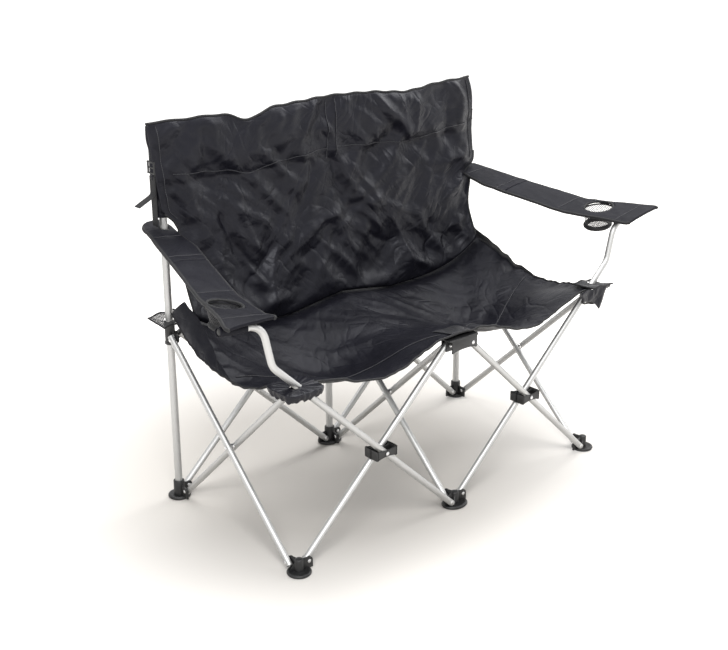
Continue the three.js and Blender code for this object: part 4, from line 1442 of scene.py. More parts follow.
@dataclass(frozen=True)
class Fold:
    """A crease or ridge in the back, from one place across and up to another."""

    start: Pair
    end: Pair
    width: float
    rise: float
    whole: float = 0.32
    fade: float = 0.16
    bow: float = 0.06
    crest: float = 1.3

    @classmethod
    def measured(cls, row: tuple[int, ...]) -> "Fold":
        """A fold from a row of millimetres."""
        x, z, end_x, end_z, width, rise = (value / 1000 for value in row)
        return cls((x, z), (end_x, end_z), width, rise)

    def lift(self, x: Array, z: Array) -> Array:
        """How far the fold lifts the cloth, in metres with its sign, at places across and up.

        Args:
            x: places across.
            z: places up.

        Returns:
            The lift at each place.
        """
        run = np.array(self.end) - np.array(self.start)
        long = float(np.hypot(*run))
        t = ((x - self.start[0]) * run[0] + (z - self.start[1]) * run[1]) / long**2
        off = ((x - self.start[0]) * run[1] - (z - self.start[1]) * run[0]) / long
        ends = bell(np.clip(np.abs(t - 0.5) - self.whole, 0, None), self.fade)
        bowed = off + self.bow * long * np.sin(math.pi * unit(t)) * np.sign(self.rise)
        return self.rise * ends * np.exp(-self.crest * np.abs(bowed) / self.width)


@dataclass
class ClothGrid:
    """A sheet of cloth on a grid of places, with its flat coordinates."""

    columns: int
    rows: int
    points: Array
    flat: Array

    @classmethod
    def shaped(cls, columns: int, rows: int, size: Pair, form: Form) -> "ClothGrid":
        """A grid whose points follow a form.

        Args:
            columns: steps across.
            rows: steps along.
            size: the flat width and length in metres.
            form: gives places from shares across and along.

        Returns:
            The sheet.
        """
        u, v = np.meshgrid(np.linspace(0, 1, columns + 1), np.linspace(0, 1, rows + 1))
        u, v = u.ravel(), v.ravel()
        flat = np.stack([u * size[0], v * size[1], np.zeros_like(u)], 1)
        return cls(columns, rows, form(u, v), flat)

    @property
    def shares(self) -> tuple[Array, Array]:
        """Each point's share of the way across and along the sheet."""
        return self.flat[:, 0] / self.flat[-1, 0], self.flat[:, 1] / self.flat[-1, 1]

    def at(self, i: int, j: int) -> Array:
        """The place of the point in column i and row j."""
        return self.points[j * (self.columns + 1) + i]

    def spot(self, u: float, v: float) -> Vector:
        """The place at shares across and along, between the nearest points.

        Args:
            u: the share across.
            v: the share along.

        Returns:
            The place.
        """
        x, y = u * self.columns, v * self.rows
        i, j = min(int(x), self.columns - 1), min(int(y), self.rows - 1)
        a, b = x - i, y - j
        low = self.at(i, j) * (1 - a) + self.at(i + 1, j) * a
        high = self.at(i, j + 1) * (1 - a) + self.at(i + 1, j + 1) * a
        return Vector(low * (1 - b) + high * b)

    def row(self, share: float, start: float = 0, end: float = 1, steps: int = 80) -> list[Vector]:
        """Places along a row, between two shares across."""
        return [self.spot(float(u), share) for u in np.linspace(start, end, steps + 1)]

    def column(self, share: float, start: float = 0, end: float = 1, steps: int = 80) -> list[Vector]:
        """Places along a column, between two shares along."""
        return [self.spot(share, float(v)) for v in np.linspace(start, end, steps + 1)]

    def rim(self) -> list[Vector]:
        """The sheet's whole edge, once round."""
        edge = self.row(0, 0, 1, 20) + self.column(1, 0.05, 1, 19)
        return edge + self.row(1, 0.95, 0, 19) + self.column(0, 0.95, 0, 19)

    def open_hole(self, centre: Array, radius: float, step: float) -> Array:
        """Rounds the points near a hole to its edge.

        Args:
            centre: the hole's place across and back.
            radius: the hole's radius.
            step: half the distance between the sheet's points.

        Returns:
            True for the points outside the hole.
        """
        away = self.points[:, :2] - centre
        far = np.maximum(np.linalg.norm(away, axis=1), 1e-6)
        keep = far > radius - step
        near = (far < radius + step) & keep
        self.points[near, :2] = centre + away[near] * (radius / far[near])[:, None]
        return keep

    def mesh(self, name: str, keep: Array | None = None, flip: bool = False) -> Mesh:
        """The sheet as a mesh.

        Args:
            name: the mesh's name.
            keep: true for the points that stay, where some are cut out.
            flip: whether its faces look the other way.

        Returns:
            The mesh, with the flat coordinates in its attribute "weave".
        """
        bm = bmesh.new()
        bmesh.ops.create_grid(bm, x_segments=self.columns, y_segments=self.rows, size=1)
        weave = layer(bm, "weave")
        ordered = sorted(bm.verts, key=lambda v: (round(v.co.y, 5), round(v.co.x, 5)))
        for vert, point, flat in zip(ordered, self.points, self.flat):
            vert.co = Vector(point)
            vert[weave] = Vector(flat)
        if keep is not None:
            lost = [vert for vert, stays in zip(ordered, keep) if not stays]
            bmesh.ops.delete(bm, geom=lost, context="VERTS")
        mesh = bpy.data.meshes.new(name)
        bm.to_mesh(mesh)
        bm.free()
        if flip:
            mesh.flip_normals()
        return mesh


@dataclass(frozen=True)
class Settling:
    """How a sheet is left to settle as cloth."""

    growth: float
    reach: float
    bending: float
    gravity: float = 0.1
    frames: int = 24
    calm: int = 3

    def run(self, sheet: ClothGrid, pinned: Array) -> None:
        """Lets a sheet's points settle, apart from those that are pinned.

        Args:
            sheet: the sheet, whose points are moved.
            pinned: from 0, free, to 1, held, for each point.
        """
        scene = bpy.context.scene
        trial = bpy.data.objects.new("settling", sheet.mesh("settling"))
        scene.collection.objects.link(trial)
        start = self.places(trial.data)
        nearest = self.match(start, sheet.points)
        group = trial.vertex_groups.new(name="held")
        for index, weight in enumerate(pinned[nearest]):
            if weight > 0:
                group.add([index], float(weight), "REPLACE")
        self.soften(trial)
        for frame in range(1, self.frames + 1):
            scene.frame_set(frame)
        step = self.places(trial.evaluated_get(bpy.context.evaluated_depsgraph_get()).to_mesh()) - start
        far = np.linalg.norm(step, axis=1, keepdims=True)
        step *= self.reach * np.tanh(far / self.reach) / np.maximum(far, 1e-9)
        shift = np.empty_like(sheet.points)
        shift[nearest] = step
        shift = shift.reshape(sheet.rows + 1, sheet.columns + 1, 3)
        for _ in range(self.calm):
            edged = np.pad(shift, ((1, 1), (1, 1), (0, 0)), mode="edge")
            shift = (4 * shift + edged[:-2, 1:-1] + edged[2:, 1:-1] + edged[1:-1, :-2] + edged[1:-1, 2:]) / 8
        sheet.points += shift.reshape(-1, 3)
        bpy.data.objects.remove(trial)
        scene.frame_set(1)

    def soften(self, trial: Piece) -> None:
        """Makes an object cloth that is held where its group says.

        Args:
            trial: the object.
        """
        cloth = trial.modifiers.new("cloth", "CLOTH")
        settings = CLOTH_SETTINGS | {"bending_stiffness": self.bending, "shrink_min": -self.growth}
        for name, value in settings.items():
            setattr(cloth.settings, name, value)
        cloth.settings.effector_weights.gravity = self.gravity
        cloth.collision_settings.use_collision = False
        cloth.collision_settings.use_self_collision = False
        cloth.point_cache.frame_start = 1
        cloth.point_cache.frame_end = self.frames

    @staticmethod
    def places(mesh: Mesh) -> Array:
        """The places of a mesh's points.

        Args:
            mesh: the mesh.

        Returns:
            The places, one row each.
        """
        flat = np.zeros(len(mesh.vertices) * 3, np.float32)
        mesh.vertices.foreach_get("co", flat)
        return flat.reshape(-1, 3).astype(float)

    @staticmethod
    def match(places: Array, points: Array) -> Array:
        """The number of the point at each place, by sorting both alike.

        Args:
            places: the places.
            points: the same places in another order.

        Returns:
            The numbers.
        """
        numbers = np.empty(len(places), int)
        numbers[np.lexsort(np.round(places, 5).T)] = np.lexsort(np.round(points, 5).T)
        return numbers


@dataclass
class Upholstery:
    """The padded back, the sling seat and what is sewn to them."""

    bench: Bench
    grid: PostGrid
    folds: tuple[Fold, ...] = tuple(map(Fold.measured, FOLD_ROWS))
    fold_gain: float = 1.15
    back_cut: Pair = (0.965, 0.6)
    back_wrinkles: Wrinkles = Wrinkles(0.0095, 13, 38, 3)
    back_crumple: Wrinkles = Wrinkles(0.0034, 27, 50, 9)
    back_grain: float = 0.0008
    back_settling: Settling = Settling(growth=0.014, reach=0.006, bending=0.15)
    back_body: str = "post_rear_middle"
    back_thick: float = 0.006
    back_half: float = 0.484
    back_top: float = 0.97
    top_waves: tuple[Place, ...] = ((0.005, 0, 0.12), (-0.022, -0.26, 0.045), (-0.011, 0.26, 0.08))
    top_ripple: float = 0.0013
    sleeve_outer: float = 0.0118
    sleeve_half: float = 0.02
    sleeve_bottom: float = 0.742
    sleeve_top: float = 0.9651
    sleeve_cloth: float = 0.0018
    sleeve_cut: float = 0.09
    left_sleeve: Pair = (0.015, 0.034)
    right_sleeve: Pair = (0.018, 0.014)
    sleeve_ripple: float = 0.0022
    sleeve_fill: float = 0.4
    crease_y: float = 0.186
    crease_z: float = 0.442
    crease_side_rise: float = 0.084
    crease_right_rise: float = 0.016
    crease_side_run: float = 0.03
    crease_middle_rise: float = 0.024
    seam_height: float = 0.82
    crown: float = 0.014
    crown_past: float = 0.03
    thin: float = 0.005
    edge_inset: float = 0.004
    edge_wrap: float = 0.007
    left_wrap: float = 0.029
    left_flare: float = 0.025
    left_slit: float = 0.01
    right_wrap: float = 0.052
    right_start: float = 0.008
    right_round: float = 0.018
    right_slit: float = 0.028
    slit_height: float = 0.708
    slit_half: float = 0.016
    roll: float = 0.011
    roll_share: float = 0.07
    hub_half: float = 0.048
    seat_cut: Pair = (0.98, 0.47)
    seat_wrinkles: Wrinkles = Wrinkles(0.0046, 11, 34, 4)
    seat_crumple: Wrinkles = Wrinkles(0.0017, 24, 46, 2)
    seat_settling: Settling = Settling(growth=0.012, reach=0.005, bending=0.2)
    front_ruffle: float = 0.0026
    side_ruffle: float = 0.0044
    seat_half: float = 0.49
    seat_front: float = -0.264
    seat_corner: float = 0.47
    seat_gap: Pair = (0.003, 0.0095)
    corner_lean: float = 0.006
    side_bulge: float = 0.031
    tuck: float = 0.03
    tuck_share: float = 0.95
    tuck_rise: float = 0.018
    seat_middle: float = 0.4705
    seat_front_sag: float = 0.048
    seat_sag: float = 0.062
    side_share: float = 0.8
    side_lean: float = 0.2
    split: float = 0.56
    lap: int = 4
    lap_drop: float = 0.0045
    cloth: float = 0.003
    side_binding: float = 0.0024
    slider_z: float = 0.48
    slider_reach: float = 0.0137
    gusset_cut: Pair = (0.27, 0.07)
    gusset_span: Pair = (0.42, 0.995)
    gusset_area: float = 0.0125
    gusset_rise: float = 0.022
    gusset_bulge: float = 0.014
    gusset_belly: float = 0.008
    gusset_sag: float = 0.022
    gusset_crumple: float = 0.0025
    hem_ruffle: float = 0.004
    thin_cloth: float = 0.0016
    patch_half: float = 0.031
    patch_start: float = 0.015
    patch_shares: Pair = (0.98, 0.445)
    patch_rise: float = 0.0022
    patch_thick: float = 0.0012
    corner_half: float = 0.037
    corner_rise: float = 0.0035
    corner_curl: float = 0.006
    corner_droop: float = 0.004
    corner_ripple: float = 0.0018
    corner_binding: float = 0.0022
    eyelet: float = 0.0095
    eyelet_out: float = 0.0105
    front_eyelet: float = 0.0115
    rear_eyelet: float = 0.0102
    flap_runs: Pair = (0.13, 0.07)
    flap_deep: float = 0.045
    flap_share: float = 0.6
    skirt_thick: float = 0.0014
    pouch_radius: float = 0.052
    pouch_depth: float = 0.018
    pouch_long: float = 0.07
    pouch_area: float = 0.0155
    pouch_turn: float = 0.45

    def mid_bay(self, x: Array) -> Array:
        """Zero where the cloth lies on a hub and one midway between two posts."""
        share = (np.abs(x) - self.hub_half) / (self.grid.bay - 2 * self.hub_half)
        return np.sin(math.pi * unit(share)) ** 2

    def crease(self, x: Array) -> tuple[Array, Array]:
        """Where the back meets the seat, as places back and up.

        Args:
            x: places across.

        Returns:
            The places back, and the places up.
        """
        share = np.abs(x) / self.grid.bay
        corner = share**6
        middle = self.crease_middle_rise * np.clip(1 - 3 * share, 0, None)
        rise = self.crease_side_rise + self.crease_right_rise * (x > 0)
        return self.crease_y - self.crease_side_run * corner, self.crease_z + rise * corner + middle

    def top_line(self, x: Array) -> Array:
        """The height of the back's top edge, with its peak in the middle and its dips between the poles."""
        waves = sum(rise * bell(x - place, width) for rise, place, width in self.top_waves)
        return self.back_top + waves + self.top_ripple * np.sin(95 * x)

    def widening(self, right: Array, cover: Array, z: Array) -> Array:
        """How far the back's side edges stand out.

        Args:
            right: true on the right side.
            cover: the share of the left pole that the back covers.
            z: heights.

        Returns:
            The steps outwards, with a slit over each armrest.
        """
        slit = bell(z - self.slit_height, self.slit_half)
        left_edge = self.left_wrap * cover + self.left_flare * unit((z - 0.76) / 0.2)
        right_edge = self.right_wrap * ease((z - 0.6) / 0.16) - self.right_start
        right_edge = right_edge - self.right_round * unit((z - 0.9) / 0.07) ** 2
        return np.where(right, right_edge - self.right_slit * slit, left_edge - self.left_slit * slit)

    def back_form(self, u: Array, v: Array) -> Array:
        """The back's front face with its padding, from the roll at its foot to its top edge.

        Args:
            u: shares across.
            v: shares along.

        Returns:
            The places, one row each.
        """
        x = self.back_half * (2 * u - 1)
        right = x > 0
        share = np.abs(x) / self.back_half
        rise = unit((v - self.roll_share) / (1 - self.roll_share))
        under = unit((self.roll_share - v) / self.roll_share)
        crease_y, crease_z = self.crease(x)
        z = crease_z + (self.top_line(x) - crease_z) * rise
        cover = np.where(right, 1, ease((z - self.sleeve_bottom + 0.015) / 0.035))
        clear = self.grid.rear - self.sleeve_outer - GAP
        inset = self.grid.rear - self.edge_inset - clear
        flat = clear + inset * share**8 * (1 - cover) + self.edge_wrap * share**8 * cover
        y = crease_y + (flat - crease_y) * (1 - (1 - rise) ** 3)
        far = np.where(z > self.seam_height, self.back_top + self.crown_past, self.crease_z)
        rows = swell((z - self.seam_height) / (far - self.seam_height))
        lift = self.thin + self.crown * swell(np.clip(share, 0.02, 0.98)) * rows
        tilt = 0.9 * (1 - rise) ** 3
        turn = 0.85 * math.pi * under
        y = y - lift * np.cos(tilt) + self.roll * (1 - np.cos(turn))
        z = z + lift * np.sin(tilt) - self.roll * np.sin(turn)
        return np.stack([x + np.sign(x) * self.widening(right, cover, z) * share**6, y, z], 1)

    def seat_form(self, u: Array, v: Array) -> Array:
        """The sling's upper face from its front edge to the crease under the back.

        Args:
            u: shares across.
            v: shares along.

        Returns:
            The places, one row each.
        """
        x = self.seat_half * (2 * u - 1)
        share = np.abs(x) / self.grid.bay
        crease_y, crease_z = self.crease(x)
        tail = unit((v - self.tuck_share) / (1 - self.tuck_share))
        v = unit(v / self.tuck_share)
        rear_y, rear_z = crease_y + self.seat_gap[0], crease_z - self.seat_gap[1]
        y = self.seat_front + (rear_y - self.seat_front) * v + self.tuck * tail
        corner = self.seat_corner + self.corner_lean * np.sign(x)
        front = self.seat_middle + (corner - self.seat_middle) * share**2
        front = front - self.seat_front_sag * self.mid_bay(x)
        sides = self.side_share - self.side_lean * x / self.grid.bay
        slack = np.sin(math.pi * v) ** 2
        hang = slack * (sides + (1 - sides) * self.mid_bay(x))
        z = front + (rear_z - front) * v**3 - self.seat_sag * hang + self.tuck_rise * tail**2
        return np.stack([x + np.sign(x) * (self.side_bulge * slack * share**8), y, z], 1)

    def back(self) -> None:
        """The padded back with its bound top edge and its seams."""
        sheet = ClothGrid.shaped(150, 80, self.back_cut, self.back_form)
        u, v = sheet.shares
        off = np.abs(2 * u - 1)
        x, y, z = sheet.points.T
        mask = unit((1 - off) / 0.05) * unit((1 - v) / 0.03) * unit((v - self.roll_share) / 0.06)
        lift = self.back_wrinkles.lift(x, z)
        for fold in self.folds:
            lift += self.fold_gain * fold.lift(x, z)
        y -= mask * lift
        pinned = ((off > 0.985) | (v > 0.985) | (v < self.roll_share)).astype(float)
        pinned = np.maximum(pinned, 0.9 * (off < 0.012) * ease((z - 0.5) / 0.2))
        pinned = np.maximum(pinned, 0.6 * (np.abs(z - self.seam_height) < 0.005))
        self.back_settling.run(sheet, pinned)
        y -= mask * (self.back_crumple.lift(x, z) + self.back_grain * ridges(sheet.points, 30, 5))
        mesh = sheet.mesh("back_pad")
        body, thick = self.back_body, self.back_thick
        piece = self.bench.cloth("back_pad", mesh, Look.CLOTH, body, thick, -1, ["back_panel"])
        gather(piece)
        self.back_seams(sheet)

    def back_seams(self, sheet: ClothGrid) -> None:
        """The back's bound edges and its rows of stitches.

        Args:
            sheet: the back.
        """
        body = self.back_body
        hem = moved(sheet.row(1, steps=120), 0, 0.002, 0)
        gather(self.bench.binding("back_binding", hem, body, 0.003))
        shares = np.linspace(0.1, 1, 181)
        heights = np.array([sheet.spot(0.25, float(s)).z for s in shares])
        seam = float(shares[np.argmin(np.abs(heights - self.seam_height))])
        rows = {
            "seam_left": sheet.row(seam, 0.03, 0.485, 90),
            "seam_right": sheet.row(seam, 0.515, 0.97, 90),
            "stitching_left": sheet.column(0.486, seam - 0.05, 0.985, 60),
            "stitching_right": sheet.column(0.514, seam - 0.05, 0.985, 60),
            "stitching_edge_left": sheet.column(0.014, seam - 0.22, 0.985, 60),
            "stitching_edge_right": sheet.column(0.986, seam - 0.22, 0.985, 60),
        }
        for name, path in rows.items():
            gather(self.bench.stitches("back_" + name, moved(path, 0, -STITCH_RISE, 0), body))
        for side, column in zip(OUTER, (0, 1)):
            path = moved(sheet.column(column, 0.08, 0.56, 60), 0, 0.002, 0)
            gather(self.bench.binding(f"back_side_binding_{side.word}", path, body, 0.0028))

    def seat(self) -> None:
        """The sling in its front and rear halves, with bound edges and the seams of its plain corners."""
        sheet = ClothGrid.shaped(150, 75, self.seat_cut, self.seat_form)
        u, v = sheet.shares
        off = np.abs(2 * u - 1)
        x, y, z = sheet.points.T
        mask = unit((1 - off) / 0.06) * unit(v / 0.05) * unit((0.93 - v) / 0.05)
        mask *= 0.12 + 0.88 * ease((v - 0.5 * (off - 0.1)) / 0.2)
        z += self.seat_wrinkles.lift(x, y) * mask
        pinned = np.maximum((off > 0.985) | (v < 0.012), ease((v - 0.8) / 0.14))
        self.seat_settling.run(sheet, pinned)
        z += mask * self.seat_crumple.lift(x, y)
        hem = ridges(sheet.points * (1, 0, 0), 30, 6) * unit(1 - v / 0.06) * (off < 0.95)
        flank = ridges(sheet.points * (0, 1, 0), 26, 8) * ease((off - 0.92) / 0.08) * ease(v / 0.1)
        z += (self.front_ruffle * hem + self.side_ruffle * flank) * ease((0.95 - v) / 0.1)
        self.halves(sheet)
        gather(self.bench.binding("seat_front_binding", sheet.row(0, steps=120), "seat_front_body", 0.0027))
        for side, column in zip(OUTER, (0, 1)):
            for row, start, end in (("front", 0, self.split), ("rear", self.split, 0.94)):
                name = f"seat_side_binding_{row}_{side.word}"
                path = sheet.column(column, start, end)
                gather(self.bench.binding(name, path, f"seat_{row}_body", self.side_binding))
        for side in OUTER:
            shares = [k / 60 for k in range(61)]
            path = [sheet.spot(0.5 + side.value * (0.045 + 0.44 * k), 0.07 + 0.47 * k) for k in shares]
            path = moved(path, 0, 0, STITCH_RISE)
            gather(self.bench.stitches(f"seat_seam_{side.word}", path, "seat_front_body"))
            self.gusset(side, sheet)
        self.middle_patch(sheet)

    def halves(self, sheet: ClothGrid) -> None:
        """The seat's two halves, each of which dips under the other where they lap.

        Args:
            sheet: the seat.
        """
        row = round(self.split * sheet.rows)
        width = sheet.columns + 1
        spans = {"seat_front": (0, row + self.lap), "seat_rear": (row - self.lap, sheet.rows)}
        for name, (first, last) in spans.items():
            part = slice(first * width, (last + 1) * width)
            half = ClothGrid(sheet.columns, last - first, sheet.points[part].copy(), sheet.flat[part])
            past = np.repeat(np.arange(first, last + 1), width) - row
            under = np.clip(past if first == 0 else -past, 0, None) / self.lap
            half.points[:, 2] -= self.lap_drop * under**2
            mesh = half.mesh(name)
            piece = self.bench.cloth(name + "_sling", mesh, Look.SEAT, name + "_body", self.cloth, -1, [name])
            gather(piece)

    def gusset(self, side: Side, sheet: ClothGrid) -> None:
        """The cloth between the seat's side, the back's lower corner and the slider.

        Args:
            side: its side.
            sheet: the seat.
        """
        sign = side.value
        edge = 0.5 + 0.5 * sign
        start, end = self.gusset_span
        rear, top = self.grid.rear - self.slider_reach, self.slider_z + self.gusset_rise
        slider = Vector((self.grid.x(side), rear, top))
        front = sheet.spot(edge, start)

        def place(a: float, b: float) -> Place:
            """A place at a share along the seat's edge and a share out from it.

            Args:
                a: the share along.
                b: the share out.

            Returns:
                The place.
            """
            slack = math.sin(math.pi * a)
            inner = sheet.spot(edge, start + (end - start) * a) + UP * (self.gusset_rise * a)
            hang = Vector((sign * self.gusset_bulge * slack, 0, -self.gusset_sag * slack))
            belly = sign * self.gusset_belly * math.sin(math.pi * b) * a
            return tuple(inner.lerp(front.lerp(slider, a) + hang, b) + ACROSS * belly)

        def form(u: Array, v: Array) -> Array:
            """From the seat's edge out to a slack line that runs to the slider.

            Args:
                u: shares across.
                v: shares along.

            Returns:
                The places, one row each.
            """
            points = np.array([place(a, b) for a, b in zip(u, v)])
            crumple = ridges(points, 18, 11 + sign) * np.sin(math.pi * v) * u
            points[:, 0] += self.gusset_crumple * crumple
            ruffle = ridges(points * (0, 1, 0), 34, 3 + sign) * v * np.sin(math.pi * u)
            points[:, 2] += self.hem_ruffle * ruffle
            return points

        cut = ClothGrid.shaped(40, 16, self.gusset_cut, form)
        name = f"seat_gusset_{side.word}"
        mesh = cut.mesh(name, flip=side is Side.LEFT)
        piece = self.bench.cloth(name, mesh, Look.SEAT, "seat_rear_body", self.thin_cloth)
        gather(piece)
        gather(self.bench.binding(name + "_binding", cut.row(1), "seat_rear_body", self.side_binding))

    def middle_patch(self, sheet: ClothGrid) -> None:
        """A bare square patch on the seat over the middle hub.

        Args:
            sheet: the seat.
        """
        size = 2 * self.patch_half
        wide, long = (size / share for share in self.patch_shares)

        def form(u: Array, v: Array) -> Array:
            """Places on the seat, a little above it."""
            spots = [sheet.spot(0.5 + (a - 0.5) * wide, self.patch_start + b * long) for a, b in zip(u, v)]
            return np.array([tuple(spot) for spot in moved(spots, 0, 0, self.patch_rise)])

        patch = ClothGrid.shaped(16, 16, (size, size), form)
        name, body = "seat_patch_middle", "hub_front_middle"
        piece = self.bench.cloth(name, patch.mesh(name), Look.PATCH, body, self.patch_thick, 1)
        self.bench.stitches("seat_patch_stitching_middle", patch.rim(), body)

    def corner_patch(self, side: Side, front: bool) -> None:
        """A reinforced corner with an eyelet for the tube that passes through it.

        Args:
            side: the corner's side.
            front: whether it is a front corner.
        """
        g = self.grid
        size = 2 * self.corner_half
        centre = np.array([g.x(side), g.front if front else g.rear])
        row, look, hole, eyelet = "rear", Look.MESH, self.rear_eyelet, centre
        body, post = f"slider_{side.word}_body", f"slider_{side.word}"
        if front:
            row, look, hole = "front", Look.PATCH, self.front_eyelet
            eyelet = centre + side.value * np.array([self.eyelet_out, g.layer])
            body, post = f"hub_front_{side.word}", f"corner_hub_{side.word}"

        def form(u: Array, v: Array) -> Array:
            """A square that curls up a little at its outer corner.

            Args:
                u: shares across.
                v: shares along.

            Returns:
                The places, one row each.
            """
            x = centre[0] + (2 * u - 1) * self.corner_half
            y = centre[1] + (2 * v - 1) * self.corner_half
            return np.stack([x, y, self.corner_height(side, front, x, y)], 1)

        patch = ClothGrid.shaped(20, 20, (size, size), form)
        keep = patch.open_hole(eyelet, hole, 0.0019)
        name = f"seat_corner_{row}_{side.word}"
        piece = self.bench.cloth(name, patch.mesh(name, keep), look, body, self.thin_cloth)
        self.bench.binding(name + "_binding", patch.rim(), body, self.corner_binding)

    def corner_height(self, side: Side, front: bool, x: Array, y: Array) -> Array:
        """The height of a corner's reinforced square.

        Args:
            side: the corner's side.
            front: whether it is a front corner.
            x: places across.
            y: places back.

        Returns:
            The heights.
        """
        g = self.grid
        ahead = (g.front - y) if front else (y - g.rear)
        out = unit(side.value * (x - g.x(side)) / self.corner_half)
        curl = self.corner_curl * unit(ahead / self.corner_half)
        level = self.seat_corner + self.corner_lean * side.value if front else self.slider_z
        ripple = self.corner_ripple * np.sin(130 * x + 60 * y)
        return level + self.corner_rise + curl - self.corner_droop * out + ripple

    def flap(self) -> None:
        """The cloth that hangs from the right front corner, with a point before the hub."""
        corner_x = self.grid.x(Side.RIGHT) + self.corner_half
        corner_y = self.grid.front - self.corner_half
        total = sum(self.flap_runs)

        def form(u: Array, v: Array) -> Array:
            """Along the front edge, round the corner and back along the side.

            Args:
                u: shares across.
                v: shares along.

            Returns:
                The places, one row each.
            """
            along = u * total - self.flap_runs[0]
            cut = 0.004 * bell(along, 0.012)
            x = corner_x + np.minimum(along, 0) - cut
            y = corner_y + np.maximum(along, 0) + cut
            depth = 0.016 + 0.02 * ease((-along - 0.02) / 0.02)
            depth += 0.032 * unit(1 - np.abs(along + 0.042) / 0.03)
            ends = np.clip(np.minimum(u, 1 - u) / 0.12, 0.25, 1)
            z = self.corner_height(Side.RIGHT, True, x, y) - depth * ends * v
            places = np.stack([x, y, z], 1)
            folds = np.sin(math.pi * np.clip(v, 0, 0.9)) * ridges(places * (1, 1, 0.35), 45, 9)
            out = 0.003 * folds - 0.008 * v**2
            places[:, 0] += out * (along > -0.02)
            places[:, 1] -= out * (along < 0.02)
            return places

        cut = (total, self.flap_deep)
        mesh = ClothGrid.shaped(72, 16, cut, form).mesh("flap", flip=True)
        piece = self.bench.cloth("seat_flap_right", mesh, Look.CLOTH, "hub_front_right", self.skirt_thick)

    def pouch(self) -> None:
        """The gathered cloth pulled over the left front corner hub, with a ragged hem."""
        g = self.grid
        top = self.seat_corner - self.corner_lean + 0.004

        def form(u: Array, v: Array) -> Array:
            """From the eyelet out over the corner and down round it.

            Args:
                u: shares across.
                v: shares along.

            Returns:
                The places, one row each.
            """
            turn = 2 * math.pi * u + 0.25 * math.pi
            out = unit(v / self.pouch_turn)
            down = unit((v - self.pouch_turn) / (1 - self.pouch_turn))
            square = (np.cos(turn) ** 4 + np.sin(turn) ** 4) ** -0.25
            radius = self.eyelet + (self.pouch_radius * square - self.eyelet) * np.sin(0.5 * math.pi * out)
            folds = np.sin(15 * turn + 1.4 * np.sin(4 * turn)) + 0.7 * np.sin(27 * turn + 2)
            radius = radius - 0.008 * down**2 + 0.0016 * folds * (0.4 * out + down)
            depth = self.pouch_depth * (1 + 0.1 * np.sin(7 * turn) + 0.12 * np.sin(17 * turn))
            x = g.x(Side.LEFT) - self.eyelet_out * (1 - out) + radius * np.cos(turn)
            y = g.front - g.layer * (1 - out) + radius * np.sin(turn)
            z = top - 0.003 * out**3 - depth * down + 0.0012 * folds * out
            return np.stack([x, y, z], 1)

        cut = (2 * math.pi * self.pouch_radius, self.pouch_long)
        mesh = ClothGrid.shaped(120, 24, cut, form).mesh("pouch")
        piece = self.bench.cloth("seat_pouch_left", mesh, Look.CLOTH, "hub_front_left", self.skirt_thick)

    def sleeve(self, side: Side) -> None:
        """A cloth sleeve over the top of a rear pole, wide and flat at the sides.

        Args:
            side: its row of posts.
        """
        sign = side.value
        r, b, t = self.sleeve_outer, self.sleeve_bottom, self.sleeve_top
        inner, roof = r - self.sleeve_cloth, t - self.sleeve_cloth
        profile = [(inner, b)] + [(r, float(h)) for h in np.linspace(b, t - 0.003, 36)]
        profile += [(r * 0.8, t - 0.0006), (r * 0.5, t), (0, t), (0, roof), (inner, roof), (inner, b)]
        low, high = self.left_sleeve if side is Side.LEFT else self.right_sleeve
        bm = bmesh.new()
        lathe(bm, profile, Matrix.Identity(4), 48)
        weave = layer(bm, "weave")
        for vert in bm.verts:
            x, y, z = vert.co
            angle = math.atan2(y, x)
            vert[weave] = Vector((angle * r, z, 0))
            if sign and math.hypot(x, y) > inner + 0.0002:
                wide = low + (high - low) * (z - b) / (t - b) + self.sleeve_ripple * math.sin(70 * z + sign)
                vert.co.x *= (wide if x * sign > 0 else self.sleeve_half - 0.0004) / r
                vert.co.y *= 1 - self.sleeve_fill * abs(math.cos(angle)) ** 3
                ripple = noise.noise(Vector((vert.co.x * 60, z * 34, 3 + sign)))
                vert.co.y += self.sleeve_ripple * ripple * (1 if vert.co.y < 0 else -1)
        bmesh.ops.translate(bm, vec=(self.grid.x(side), self.grid.rear, 0), verts=list(bm.verts))
        name = f"back_sleeve_{side.word}"
        piece = self.bench.add(name + "_cloth", bm, Look.CLOTH, f"post_rear_{side.word}", [name], 60)

    def build(self) -> None:
        """The back, its sleeves, the seat and its corners."""
        self.back()
        for side in Side:
            self.sleeve(side)
        self.seat()
        self.pouch()
        self.corner_patch(Side.RIGHT, True)
        self.flap()
        for side in OUTER:
            self.corner_patch(side, False)


